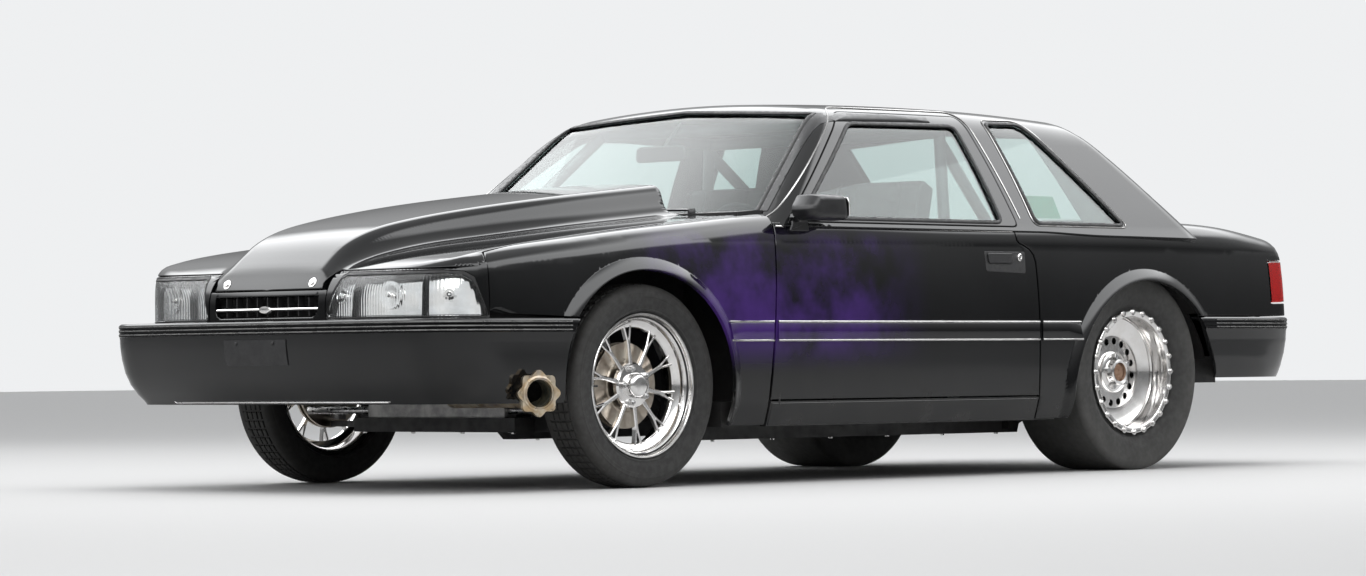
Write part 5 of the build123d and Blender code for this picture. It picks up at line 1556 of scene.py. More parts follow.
def mirrors():
    outline = np.array(rounded(MIRROR_OUTLINE, 0.005))
    middle = outline.mean(0)
    rows = []
    for y, share in ((0.853, 0.88), (0.855, 0.955), (0.862, 0.99), (0.88, 1.0), (0.905, 0.985),
                     (0.925, 0.94), (0.938, 0.87), (0.945, 0.79), (0.949, 0.66), (0.95, 0.5)):
        flat = middle + (outline - middle) * share
        rows.append(np.column_stack([flat[:, 0], np.full(len(flat), y), flat[:, 1]]))
    head = np.concatenate(rows), tube_faces(len(rows), len(outline))
    foot = [(0.587, 0.868), (0.63, 0.868), (0.64, 0.884), (0.632, 0.896), (0.596, 0.896), (0.583, 0.884)]
    stalk = slab(foot, 0.822, 0.862, 1, 0.003)
    base = rounded([(0.56, 0.8385), (0.66, 0.8385), (0.64, 0.874), (0.57, 0.874)], 0.006)
    base = slab(base, 0.818, 0.846, 1, 0.003)
    face = [(0.86, 0.884), (0.936, 0.888), (0.941, 0.93), (0.934, 0.952), (0.862, 0.95)]
    pane = slab(rounded(face, 0.006), 0.4575, 0.462, 0, 0.001)
    tilt = (pane[0][:, 2] - 0.88) * 0.16
    pane = pane[0] + np.column_stack([tilt - 0.0012, 0 * tilt, 0 * tilt]), pane[1]
    for side, hand, _ in HANDS:
        solid_piece(f"door_mirror_{side}_housing", *hand(joined(head, stalk, base)), SATIN, f"door_{side}",
                    "trim_black", f"door_mirror_{side}")
        solid_piece(f"door_mirror_{side}_glass", *hand(pane), REFLECTOR, f"door_{side}", "polished_wheel")


def door_handles():
    cup_form, flap_form = lifted(lower_form, 0.0015), lifted(lower_form, 0.007)

    def patch(form, outline, wall):
        loop = on_side(form, ring(outline, 0.008))
        x, z = np.array(outline).T
        points = on_side(form, grid((x.min(), z.min()), (x.max(), z.max()), 0.012))
        return shell(form, [loop], points, SIDE_VIEW, wall, 0.0, 0.002)

    cup = patch(cup_form, [(-0.335, 0.712), (-0.335, 0.782), (-0.556, 0.782), (-0.548, 0.706)], 0.004)
    flap = patch(flap_form, [(-0.348, 0.742), (-0.348, 0.776), (-0.48, 0.776), (-0.48, 0.742)], 0.004)
    seat = on_side(cup_form, [(-0.522, 0.762)])[0]
    lock = lathe([(0, -0.002), (0.0135, -0.002), (0.0135, 0.004), (0.011, 0.006), (0.006, 0.006),
                  (0.005, 0.004), (0, 0.004)], seat, (0, 1, 0), 32)
    for side, hand, flip in HANDS:
        mesh_piece(f"door_{side}_handle_cup", [flip(cup)], SEAL, f"door_{side}", "trim_black")
        mesh_piece(f"door_{side}_handle", [flip(flap)], SATIN, f"door_{side}", "trim_black")
        solid_piece(f"door_{side}_lock", *hand(lock), BRIGHT, f"door_{side}", "machined_steel")


def wipers():
    nut = [(0, -0.004), (0.014, -0.004), (0.014, 0.01), (0.01, 0.016), (0, 0.016)]
    arm_section = [(-0.005, 0), (0.005, 0), (0.0035, 0.006), (-0.0035, 0.006)]
    blade_section = [(-0.004, -0.005), (0.004, -0.005), (0.002, 0.004), (-0.002, 0.004)]
    parts = []
    for pivot_y, tip_y in ((0.5, -0.08), (-0.1, -0.62)):
        base = on_top(lower_form, [(0.77, pivot_y)])[0] + (0, 0, 0.004)
        tip = on_front(cabin_form, [(tip_y, 0.925)])[0] + (0.012, 0, 0.006)
        mid = (base + tip) / 2 + (0.004, 0, 0.005)
        arm = np.array([base + (0, 0, 0.009), mid, tip])
        parts.append(lathe(nut, base, (0, 0, 1), 24))
        parts.append(swept(spaced(arm, 0.03), arm_section, (0.4, 0, 0.9)))
        rest = on_front(cabin_form, level_line(tip_y - 0.16, tip_y + 0.26, 0.922, 20)) + (0.005, 0, 0.004)
        parts.append(swept(rest, blade_section, (0.6, 0, 0.8)))
    solid_piece("wipers", *joined(*parts), SATIN, "root", "trim_black")


EXHAUST_END = np.array((1.874, 0.88, 0.31))
EXHAUST_BEND = np.array((1.846, 0.8, 0.31))
EXHAUST_ROOT_Y = 0.463


def exhaust():
    """Pipe out through the bumper's corner, with an eight-pointed scalloped flange."""
    way = (EXHAUST_END - EXHAUST_BEND) / np.linalg.norm(EXHAUST_END - EXHAUST_BEND)
    _, first, second = frame_about(way)
    turn = np.linspace(0, math.tau, 96, endpoint=False)
    reach = 0.0765 - 0.0125 * (1 - np.abs(np.cos(4 * turn)) ** 1.6)
    loop = np.stack([reach * np.cos(turn), reach * np.sin(turn)], 1)
    hole = circle(0.0425, 48)[::-1]
    place, faces = drilled([inset(loop, 0.0025), hole], 0.0, 0.014)
    flat = place[:, [0, 2]]
    flange = EXHAUST_END + flat[:, :1] * first + flat[:, 1:] * second + way * place[:, 1:2]
    tube = [(0.0425, -0.11), (0.0425, 0.015), (0.044, 0.018), (0.0475, 0.018), (0.0495, 0.015),
            (0.0495, -0.102)]
    collar = lathe(tube, EXHAUST_END, way, 64)
    inner = bar((EXHAUST_BEND[0], EXHAUST_ROOT_Y, 0.31), EXHAUST_BEND, 0.046, 48)
    bead = lathe([(0.0495, 0.004), (0.056, 0.0135), (0.056, 0.0165), (0.0495, 0.018)], EXHAUST_END, way, 64)
    solid_piece("exhaust_pipe", *joined(collar, inner, (flange, faces), bead), EXHAUST, "root",
                "exhaust_metal", "exhaust_outlet")
    soot = lathe([(0, -0.06), (0.0422, -0.06), (0.0422, 0.01), (0.0405, 0.01), (0.0405, -0.056),
                  (0, -0.056)], EXHAUST_END, way, 48)
    solid_piece("exhaust_bore", *soot, SOOT, "root", "exhaust_metal")


def build_trim():
    side_mouldings()
    sills()
    window_trim()
    panes()
    headlamps()
    grille()
    hood_pins()
    lip_highlight_strip()
    front_plate_holder()
    bumper_highlight_strips()
    tail_lamps()
    tail_details()
    mirrors()
    door_handles()
    wipers()
    exhaust()


# Cabin

SEAT_Y = 0.37
SEAT_PAN = [
    (0.226, 0.217), (0.216, 0.3), (0.2, 0.312), (-0.15, 0.296), (-0.2, 0.33), (-0.228, 0.43), (-0.33, 1.02),
    (-0.348, 1.038), (-0.392, 1.014), (-0.394, 0.995), (-0.268, 0.4), (-0.23, 0.217),
]
SEAT_WING = [
    (0.222, 0.217), (0.196, 0.405), (0.17, 0.424), (0.04, 0.418), (-0.08, 0.425), (-0.15, 0.46),
    (-0.19, 0.6), (-0.205, 0.7), (-0.235, 0.78), (-0.28, 0.85), (-0.3, 0.96), (-0.318, 1.018),
    (-0.345, 1.036), (-0.392, 1.01), (-0.33, 0.72), (-0.262, 0.4), (-0.228, 0.217),
]
PAD_CAP = 0.014
# Pads of the left seat: name, length, width, thickness, centre (x, z), lean in degrees, channels
PADS = (
    ("cushion", 0.3, 0.3, 0.062, (0.03, 0.336), 3.0, 4),
    ("back", 0.52, 0.29, 0.06, (-0.26, 0.655), -79.0, 6),
    ("headrest", 0.13, 0.21, 0.05, (-0.326, 0.972), -79.0, 0),
)


def pad_start(length, width, thick, centre, lean):
    """Rounded block of the pad's size, at its place on the seat."""
    work = bmesh.new()
    bmesh.ops.create_cube(work, size=1.0)
    bmesh.ops.scale(work, vec=(length, width, thick), verts=work.verts)
    bmesh.ops.bevel(work, geom=work.edges[:], offset=thick * 0.42, segments=4, profile=0.5, affect="EDGES")
    turn = Matrix.Rotation(-math.radians(lean), 4, "Y")
    work.transform(Matrix.Translation((centre[0], SEAT_Y, centre[1])) @ turn)
    mesh = bpy.data.meshes.new("pad_start")
    work.to_mesh(mesh)
    work.free()
    return mesh


def result_of(source):
    return bpy.data.meshes.new_from_object(source.evaluated_get(bpy.context.evaluated_depsgraph_get()))


def points_of(mesh):
    place = np.empty(len(mesh.vertices) * 3, np.float32)
    mesh.vertices.foreach_get("co", place)
    return place.reshape(-1, 3).astype(float)


def inflated(mesh):
    """The pad remeshed, and swollen by a cloth simulation."""
    scene = bpy.context.scene
    source = bpy.data.objects.new("pad_source", mesh)
    scene.collection.objects.link(source)
    remesh = source.modifiers.new("remesh", "REMESH")
    remesh.mode, remesh.voxel_size = "VOXEL", 0.006
    even = result_of(source)
    source.modifiers.clear()
    source.data = even
    before = points_of(even)
    cloth = source.modifiers.new("swell", "CLOTH")
    cloth.settings.quality = 4
    cloth.settings.use_pressure = True
    cloth.settings.uniform_pressure_force = 4
    cloth.settings.effector_weights.gravity = 0
    for number in range(1, 21):
        scene.frame_set(number)
    swollen = result_of(source)
    step = points_of(swollen) - before
    length = np.linalg.norm(step, axis=1)[:, None]
    after = before + step * np.minimum(1, PAD_CAP / np.maximum(length, 1e-9))
    source.modifiers.clear()
    even.vertices.foreach_set("co", after.astype(np.float32).ravel())
    even.update()
    scene.frame_set(1)
    bpy.data.objects.remove(source)
    return even


def stitched(mesh, centre, lean, length, count):
    """Sewn channels across the face of the pad."""
    place = points_of(mesh)
    angle = math.radians(lean)
    along = np.array((math.cos(angle), 0, math.sin(angle)))
    out = np.array((-math.sin(angle), 0, math.cos(angle)))
    off = place - (centre[0], SEAT_Y, centre[1])
    reach, height = off @ along, off @ out
    depth = np.zeros(len(place))
    for line in np.linspace(-0.5, 0.5, count + 2)[1:-1] * length:
        depth += np.exp(-((reach - line) / 0.0055) ** 2)
    place -= out * (0.007 * np.clip(depth, 0, 1) * (height > 0))[:, None]
    mesh.vertices.foreach_set("co", place.astype(np.float32).ravel())
    mesh.update()


def smoothed(mesh):
    source = bpy.data.objects.new("pad_smooth", mesh)
    bpy.context.scene.collection.objects.link(source)
    finer = source.modifiers.new("finer", "SUBSURF")
    finer.levels = finer.render_levels = 1
    made = result_of(source)
    bpy.data.objects.remove(source)
    return made


def seats():
    pan = slab(SEAT_PAN, SEAT_Y - 0.186, SEAT_Y + 0.186, 1, 0.003)
    wings = [slab(SEAT_WING, *sorted((SEAT_Y + side * 0.186, SEAT_Y + side * 0.204)), 1, 0.005)
             for side in (-1, 1)]
    solid_piece("seat_shells", *on_both(joined(pan, *wings)), SATIN, "root", "seat_cover", "seats")
    rail = slab(box((-0.19, 0.2155), (0.19, 0.23)), 0, 0.03, 1, 0.002)
    rails = [(rail[0] + (0, SEAT_Y + y, 0), rail[1]) for y in (-0.225, 0.208)]
    solid_piece("seat_rails", *on_both(joined(*rails)), STEEL, "root", "machined_steel")
    for name, length, width, thick, centre, lean, channels in PADS:
        mesh = inflated(pad_start(length, width, thick, centre, lean))
        if channels:
            stitched(mesh, centre, lean, length, channels)
        mesh = smoothed(mesh)
        mesh.shade_smooth()
        for side in ("left", "right"):
            if side == "right":
                mesh = mesh.copy()
                mesh.transform(Matrix.Scale(-1, 4, (0, 1, 0)))
                mesh.flip_normals()
            piece = finished(f"seat_{side}_{name}", mesh, SEAT if side == "left" else [], "root",
                             "seat_cover")


WHEEL_CENTRE = np.array((0.34, 0.37, 0.7805))
COLUMN_FOOT = np.array((0.47, 0.37, 0.72))


def steering_wheel():
    way, first, second = frame_about(WHEEL_CENTRE - COLUMN_FOOT)
    turn = np.linspace(0, math.tau, 96, endpoint=False)
    ring = WHEEL_CENTRE + 0.172 * (np.cos(turn)[:, None] * first + np.sin(turn)[:, None] * second)
    grip = 1.0 + 0.06 * np.cos(24 * turn)
    rim = swept(ring, circle(0.0135, 14), way, True, grip)
    solid_piece("steering_wheel_rim", *rim, SEAT, "root", "trim_black", "steering_wheel")
    arms = []
    for angle in (90, 210, 330):
        a = math.radians(angle)
        out, side = math.cos(a) * first + math.sin(a) * second, -math.sin(a) * first + math.cos(a) * second
        holes = [circle(r, 20)[::-1] + (d, 0) for r, d in ((0.0085, 0.065), (0.0075, 0.092), (0.0065, 0.116))]
        edge = [(0.03, -0.02), (0.165, -0.012), (0.165, 0.012), (0.03, 0.02)]
        place, faces = drilled([edge, *holes], -0.0025, 0.0015)
        place = WHEEL_CENTRE + place[:, :1] * out + place[:, 2:] * side + place[:, 1:2] * way + way * 0.004
        arms.append((place, faces))
    hub = lathe([(0, -0.03), (0.026, -0.03), (0.03, -0.022), (0.03, -0.004), (0.041, -0.002),
                 (0.041, 0.006), (0.036, 0.009), (0.02, 0.012), (0, 0.012)], WHEEL_CENTRE, way, 40)
    solid_piece("steering_wheel_arms", *joined(*arms, hub), ALLOY, "root", "cast_aluminium")


DASH = [
    (0.764, 0.864), (0.62, 0.8655), (0.47, 0.862), (0.436, 0.856), (0.42, 0.842), (0.404, 0.78),
    (0.393, 0.742), (0.398, 0.716), (0.44, 0.65), (0.472, 0.602), (0.764, 0.602),
]
BINNACLE = [(0.6, 0.858), (0.56, 0.885), (0.48, 0.893), (0.412, 0.886), (0.398, 0.872), (0.404, 0.78),
            (0.6, 0.78)]
VENTS = (-0.66, -0.14, 0.16, 0.66)
# Place across and up, and radius
GAUGES = ((0.3, 0.824, 0.036), (0.395, 0.824, 0.042), (0.478, 0.824, 0.03), (0.1, 0.8, 0.026),
          (0.02, 0.8, 0.026), (-0.06, 0.8, 0.026))


def dashboard():
    body = slab(DASH, -0.735, 0.735, 1, 0.006)
    hood_over = slab(BINNACLE, 0.225, 0.535, 1, 0.008)
    column = bar(COLUMN_FOOT, WHEEL_CENTRE, 0.02, 24)
    glove = slab(box((-0.56, 0.66), (-0.22, 0.775)), 0.386, 0.42, 0, 0.003)
    vents = [slab(box((y - 0.045, 0.806), (y + 0.045, 0.838)), 0.399, 0.44, 0, 0.003) for y in VENTS]
    solid_piece("dashboard_pad", *joined(body, hood_over, column, glove, *vents), TRIM, "root",
                "trim_black", "dashboard")
    slat = slab(box((0.3955, -0.04), (0.401, 0.04)), -0.0008, 0.0008, 2, 0.0003)
    for number, y in enumerate(VENTS):
        repeated(f"dash_vent_slats_{number}", slat, ROW,
                 {"Copies": 5, "First": (0, y, 0.81), "Step": (0, 0, 0.006)}, SATIN, "root", "trim_black")


def gauges():
    rims, dials = [], []
    for y, z, radius in GAUGES:
        seat = (0.3965 if y > 0.2 else 0.403, y, z)
        inner = radius - 0.005
        rim = [(radius, -0.012), (radius, 0.004), (radius - 0.003, 0.006), (inner, 0.004), (inner, -0.012)]
        rims.append(lathe(rim, seat, (-1, 0, 0), 40))
        dials.append(lathe(box((0, -0.01), (inner, -0.002)), seat, (-1, 0, 0), 40))
    solid_piece("gauge_rims", *joined(*rims), BRIGHT, "root", "polished_wheel")
    solid_piece("gauge_faces", *joined(*dials), SATIN, "root", "trim_black")


def gear_lever():
    knob = [(0, -0.02), (0.015, -0.018), (0.02, 0), (0.017, 0.014), (0.01, 0.02), (0, 0.021)]
    lever = joined(bar((0.165, 0.0, 0.455), (0.13, 0.0, 0.6), 0.008),
                   lathe(knob, (0.128, 0, 0.612), (-0.2, 0, 1), 24))
    boot = lathe([(0, 0.0), (0.055, 0.0), (0.05, 0.01), (0.038, 0.022), (0.03, 0.034), (0.018, 0.048),
                  (0, 0.05)], (0.165, 0, 0.452), (-0.15, 0, 1), 32)
    solid_piece("gear_lever", *joined(lever, boot), SATIN, "root", "trim_black")


def pedals():
    places = (0.3, 0.4)
    pads = [slab(box((y - 0.03, 0.3), (y + 0.03, 0.36)), 0.69, 0.7, 0, 0.002) for y in places]
    arms = [bar((0.699, y, 0.35), (0.758, y, 0.56), 0.007) for y in places]
    solid_piece("pedals", *joined(*pads, *arms), STEEL, "root", "machined_steel")


def cabin_mirror():
    face = rounded([(-0.122, 1.112), (-0.112, 1.104), (0.112, 1.104), (0.122, 1.112), (0.118, 1.152),
                    (0.096, 1.16), (-0.096, 1.16), (-0.118, 1.152)], 0.006)
    back = slab(face, 0.386, 0.404, 0, 0.006)
    pane = slab(inset(face, 0.005), 0.3845, 0.388, 0, 0.0008)
    stalk = bar((0.398, 0, 1.14), (0.296, 0, 1.24), 0.007)
    solid_piece("cabin_mirror", *joined(back, stalk), SATIN, "root", "trim_black")
    solid_piece("cabin_mirror_glass", *pane, REFLECTOR, "root", "polished_wheel")


def headlining():
    form = lifted(cabin_form, -0.032)
    loop = settle(form, on_top(cabin_form, spaced([(0.1, -0.5), (0.1, 0.5), (-0.98, 0.5),
                                                   (-0.98, -0.5)], 0.03, closed=True)))
    points = settle(form, on_top(cabin_form, grid((-0.97, -0.49), (0.09, 0.49), 0.05)))
    built = shell(form, [loop], points, cabin_view, 0.006, 0.0, 0.001)
    mesh_piece("headlining", [built], FELT, "root", "trim_black")


def door_cards():
    """Door cards and their armrests."""
    card_form = lifted(lower_form, -0.0515)
    outline = rounded([(0.69, 0.3), (0.655, 0.835), (-0.5, 0.835), (-0.59, 0.74), (-0.59, 0.3)], 0.03)
    loop = on_side(card_form, spaced(outline, closed=True))
    built = shell(card_form, [loop], on_side(card_form, grid((-0.58, 0.31), (0.68, 0.83), 0.04)), SIDE_VIEW,
                  0.01, 0.0, 0.002)
    rest = rounded([(-0.34, 0.56), (0.22, 0.575), (0.22, 0.615), (-0.34, 0.6)], 0.008)
    rest = slab(rest, 0.772, 0.812, 1, 0.006)
    pull = rounded([(0.25, 0.655), (0.4, 0.665), (0.4, 0.69), (0.25, 0.68)], 0.006)
    pull = slab(pull, 0.79, 0.815, 1, 0.004)
    for side, hand, flip in HANDS:
        mesh_piece(f"door_{side}_card", [flip(built)], FELT, f"door_{side}", "trim_black")
        solid_piece(f"door_{side}_armrest", *hand(joined(rest, pull)), TRIM, f"door_{side}", "trim_black")


def carpets():
    mat = slab(box((-0.8, 0.158), (0.745, 0.69)), 0.2155, 0.2215, 2, 0.002)
    solid_piece("carpets", *on_both(mat), FELT, "root", "trim_black")


def blackouts():
    """Black paint inside the rear half of the quarter windows."""
    form = lifted(cabin_form, -0.0135)
    outline = [(-0.806, 1.236), (-1.138, 0.89), (-0.935, 0.89)]
    loop = on_side(form, spaced(outline, closed=True))
    built = shell(form, [loop], on_side(form, grid((-1.13, 0.895), (-0.8, 1.23), 0.03)), SIDE_VIEW, 0.002,
                  0.0, 0.0005)
    mesh_piece("quarter_window_blackouts", [built, mirrored(built)], SATIN, "root", "trim_black")


def build_inside():
    blackouts()
    seats()
    steering_wheel()
    dashboard()
    gauges()
    gear_lever()
    pedals()
    cabin_mirror()
    headlining()
    door_cards()
    carpets()


# Engine bay and underbody

def valve_covers():
    cover = slab(rounded(box((0.935, -0.245), (1.52, -0.14)), 0.012), 0.789, 0.838, 2, 0.008)
    solid_piece("valve_covers", *on_both(cover), POLISHED, "root", "polished_wheel")
    rib = slab(box((0.955, -0.003), (1.5, 0.003)), 0.836, 0.842, 2, 0.001)
    for number, first in enumerate((-0.228, 0.158)):
        repeated(f"valve_cover_ribs_{number}", rib, ROW,
                 {"Copies": 4, "First": (0, first, 0), "Step": (0, 0.0235, 0)}, BRIGHT, "root",
                 "polished_wheel")


def intake():
    plenum = slab(rounded(box((1.0, -0.105), (1.43, 0.105)), 0.02), 0.789, 0.815, 2, 0.006)
    stack = lathe([(0, 0.812), (0.09, 0.812), (0.098, 0.822), (0.098, 0.85), (0.09, 0.858),
                   (0.03, 0.864), (0, 0.864)], (1.215, 0, 0), (0, 0, 1), 48)
    solid_piece("intake", *joined(plenum, stack), ALLOY, "root", "cast_aluminium")


# Place across and up, and radius
PULLEYS = ((0.0, 0.4, 0.078), (0.0, 0.64, 0.062), (-0.165, 0.68, 0.036), (0.165, 0.6, 0.046))
# Where the belt runs round three of them, in its order
BELT_ARCS = ((0.0, 0.4, 0.0725), (0.165, 0.6, 0.0405), (-0.165, 0.68, 0.0305))


def pulleys():
    parts = []
    for y, z, radius in PULLEYS:
        groove = [(0, 0.0), (radius, 0.0), (radius, 0.006), (radius - 0.006, 0.009),
                  (radius - 0.006, 0.021), (radius, 0.024), (radius, 0.03), (radius * 0.5, 0.03),
                  (radius * 0.4, 0.022), (0, 0.022)]
        parts.append(lathe(groove, (1.562, y, z), (1, 0, 0), 40))
        parts.append(bar((1.555, y, z), (1.596, y, z), 0.014, 20))
    solid_piece("pulleys", *joined(*parts), STEEL, "root", "machined_steel")


def drive_belt():
    path = []
    for (y0, z0, r0), (y1, z1, r1) in zip(BELT_ARCS, BELT_ARCS[1:] + BELT_ARCS[:1]):
        d = np.array((y1 - y0, z1 - z0))
        d /= np.linalg.norm(d)
        out = np.array((d[1], -d[0]))
        path += [(1.577, *(np.array((y0, z0)) + out * r0)), (1.577, *(np.array((y1, z1)) + out * r1))]
    path = spaced(path, 0.02, closed=True)
    belt = swept(path, box((-0.002, -0.006), (0.002, 0.006)), (1, 0, 0), True)
    solid_piece("drive_belt", *belt, SEAL, "root", "trim_black")


def radiator_dressing():
    """The two hoses and the fins."""
    t = np.linspace(0, 1, 24)[:, None]
    ends = [np.array(q) for q in ((1.56, 0.12, 0.735), (1.7, 0.15, 0.8), (1.85, 0.23, 0.76),
                                  (1.94, 0.25, 0.655))]
    curve = ((1 - t) ** 3 * ends[0] + 3 * t * (1 - t) ** 2 * ends[1]
             + 3 * t * t * (1 - t) * ends[2] + t ** 3 * ends[3])
    low = curve * (1, -1, 1) - (0, 0, 0.16)
    hoses = [swept(curve, circle(0.022, 16), (0, 1, 0)), swept(low[:-3], circle(0.022, 16), (0, 1, 0))]
    solid_piece("radiator_hoses", *joined(*hoses), SEAL, "root", "trim_black")
    fin = slab(box((1.9765, -0.36), (1.981, 0.36)), -0.0007, 0.0007, 2, 0.0002)
    repeated("radiator_fins", fin, ROW, {"Copies": 44, "First": (0, 0, 0.475), "Step": (0, 0, 0.0042)},
             ALLOY, "root", "cast_aluminium")


def heads_and_headers():
    head = slab(box((0.905, -0.3), (1.54, -0.254)), 0.52, 0.64, 2, 0.006)
    pipes = []
    s = np.linspace(0, 1, 14)[:, None]
    for x in (0.98, 1.14, 1.3, 1.46):
        a, b, c = np.array([(x, 0.27, 0.58), (x, 0.35, 0.585), (x + 0.04, 0.355, 0.5)])
        pipes.append(swept((1 - s) ** 2 * a + 2 * s * (1 - s) * b + s * s * c, circle(0.021, 14),
                           (1, 0.01, 0)))
    log = bar((0.96, 0.36, 0.48), (1.58, 0.36, 0.47), 0.03, 20)
    solid_piece("exhaust_headers", *on_both(joined(*pipes, log)), EXHAUST, "root", "exhaust_metal")
    solid_piece("cylinder_heads", *on_both(right_hand(head)), IRON, "root", "cast_iron")


def coil(centre, low, high, radius, wire, turns):
    """Wound spring about an upright axis."""
    t = np.linspace(0, 1, int(turns * 20))
    angle = math.tau * turns * t
    path = np.stack([centre[0] + radius * np.cos(angle), centre[1] + radius * np.sin(angle),
                     low + (high - low) * t], 1)
    return swept(path, circle(wire, 8), (0, 0, 1))


def rear_springs():
    spring = coil((REAR_AXLE[0], 0.34), 0.412, 0.52, 0.0285, 0.0048, 5)
    damper = lathe([(0, 0.401), (0.016, 0.401), (0.024, 0.404), (0.024, 0.41), (0.015, 0.414),
                    (0.015, 0.47), (0.008, 0.474), (0.008, 0.518), (0.024, 0.52), (0.024, 0.528),
                    (0, 0.529)], (REAR_AXLE[0], 0.34, 0), (0, 0, 1), 32)
    solid_piece("rear_springs", *on_both(joined(spring, damper)), STEEL, "root", "machined_steel",
                "coilovers")


def bolts_below():
    """Rows of bolt heads, each with its first place, its step and its count."""
    bolt = slab(circle(0.0075, 6), -0.006, 0.0, 2, 0.001)
    for name, first, step, count in (
        ("crossmember_bolts_front", (1.262, -0.36, 0.18), (0, 0.24, 0), 4),
        ("crossmember_bolts_rear", (1.478, -0.36, 0.18), (0, 0.24, 0), 4),
        ("rail_bolts_left", (-0.9, 0.425, 0.14), (0.3, 0, 0), 6),
        ("rail_bolts_right", (-0.9, -0.425, 0.14), (0.3, 0, 0), 6),
        ("tank_bolts", (-2.09, -0.36, 0.3), (0, 0.24, 0), 4),
        ("gearbox_pan_bolts_left", (0.33, -0.08, 0.2385), (0.08, 0, 0), 6),
        ("gearbox_pan_bolts_right", (0.33, 0.08, 0.2385), (0.08, 0, 0), 6),
        ("oil_pan_bolts_left", (0.95, -0.118, 0.19), (0.082, 0, 0), 4),
        ("oil_pan_bolts_right", (0.95, 0.118, 0.19), (0.082, 0, 0), 4),
    ):
        repeated(name, bolt, ROW, {"Copies": count, "First": first, "Step": step}, BOLT, "root",
                 "machined_steel")


def plates_below():
    """The gearbox pan, the tank's straps and the floor's ribs."""
    pan = slab(rounded(box((0.3, -0.095), (0.78, 0.095)), 0.02), 0.218, 0.25, 2, 0.006)
    solid_piece("gearbox_pan", *pan, STEEL, "root", "machined_steel")
    straps = [slab(box((x - 0.014, -0.393), (x + 0.014, 0.393)), 0.2965, 0.3, 2, 0.001)
              for x in (-1.98, -1.8)]
    solid_piece("tank_straps", *joined(*straps), STEEL, "root", "machined_steel")
    ribs = [slab(box((x - 0.012, -0.69), (x + 0.012, -0.47)), 0.2, 0.2055, 2, 0.002)
            for x in np.linspace(-0.7, 0.6, 7)]
    solid_piece("floor_ribs", *on_both(joined(*ribs)), CHASSIS, "root", "chassis_black")


def axle_dressing():
    """The shaft's flanges, the axle's cover and the rear brakes."""
    joints = []
    for x, way in ((0.195, 1), (-1.035, -1)):
        joints.append(lathe([(0, -0.03), (0.052, -0.03), (0.056, -0.024), (0.056, 0.0), (0.046, 0.006),
                             (0.046, 0.024), (0, 0.024)], (x, 0, 0.34), (way, 0, 0), 32))
    solid_piece("shaft_flanges", *joined(*joints), STEEL, "root", "machined_steel")
    cover = lathe([(0, 0), (0.105, 0), (0.112, 0.006), (0.112, 0.012), (0.09, 0.034), (0.05, 0.046),
                   (0, 0.05)], (REAR_AXLE[0] - 0.08, 0, REAR_AXLE[1]), (-1, 0, 0), 48)
    solid_piece("axle_cover", *cover, ALLOY, "root", "cast_aluminium")
    brakes = lathe([(0.035, 0.6), (0.118, 0.6), (0.124, 0.606), (0.124, 0.642), (0.118, 0.648),
                    (0.035, 0.652)], (REAR_AXLE[0], 0, REAR_AXLE[1]), (0, 1, 0), 64)
    solid_piece("rear_brakes", *on_both(brakes), IRON, "root", "cast_iron")


def build_underneath():
    valve_covers()
    intake()
    pulleys()
    drive_belt()
    radiator_dressing()
    heads_and_headers()
    rear_springs()
    bolts_below()
    plates_below()
    axle_dressing()


# Wheels and tyres

# Closed wheel and tyre profiles: distance from the axle, then place across the car
FRONT_RIM = [
    (0.2355, 0.806), (0.2355, 0.813), (0.2335, 0.815), (0.229, 0.815), (0.2265, 0.812), (0.2255, 0.806),
    (0.2235, 0.8), (0.2205, 0.797), (0.216, 0.794), (0.2125, 0.789), (0.2105, 0.776), (0.205, 0.772),
    (0.197, 0.766), (0.19, 0.764), (0.187, 0.76), (0.187, 0.748), (0.193, 0.744), (0.207, 0.735),
    (0.21, 0.7), (0.2165, 0.686), (0.226, 0.679), (0.2345, 0.6765), (0.2355, 0.678), (0.2355, 0.683),
    (0.2215, 0.688), (0.2185, 0.694), (0.2185, 0.79), (0.2215, 0.799), (0.2285, 0.804),
]
FRONT_SPOKE = [
    (-0.0105, 0.045), (-0.0078, 0.085), (-0.0066, 0.13), (-0.0085, 0.148), (-0.019, 0.194),
    (-0.0105, 0.196), (-0.003, 0.16), (0, 0.152), (0.003, 0.16), (0.0105, 0.196), (0.019, 0.194),
    (0.0085, 0.148), (0.0066, 0.13), (0.0078, 0.085), (0.0105, 0.045),
]
HUB_DISC = [(0.022, 0.745), (0.07, 0.745), (0.075, 0.75), (0.075, 0.764), (0.07, 0.771), (0.022, 0.773)]
HUB_CAP = [(0, 0.765), (0.041, 0.765), (0.041, 0.788), (0.037, 0.797), (0.03, 0.802), (0.024, 0.803),
           (0, 0.803)]
FRONT_DISC = [
    (0.085, 0.698), (0.139, 0.698), (0.14, 0.699), (0.14, 0.708), (0.132, 0.709), (0.132, 0.719),
    (0.14, 0.72), (0.14, 0.729), (0.139, 0.73), (0.088, 0.73), (0.084, 0.734), (0.03, 0.734), (0.03, 0.726),
    (0.078, 0.726),
]
REAR_RIM = [
    (0.2138, 0.556), (0.2138, 0.797), (0.2065, 0.797), (0.204, 0.785), (0.202, 0.76), (0.201, 0.738),
    (0.196, 0.732), (0.194, 0.716), (0.199, 0.7), (0.205, 0.69), (0.2065, 0.6), (0.21, 0.556),
]
REAR_BEADLOCK = [
    (0.201, 0.7985), (0.2215, 0.7975), (0.2235, 0.7995), (0.2235, 0.807), (0.2215, 0.809), (0.206, 0.8095),
    (0.202, 0.807),
]
REAR_BOWL = [(0.132, 0.7), (0.15, 0.702), (0.1955, 0.722), (0.1955, 0.733), (0.188, 0.73),
             (0.152, 0.714), (0.132, 0.713)]
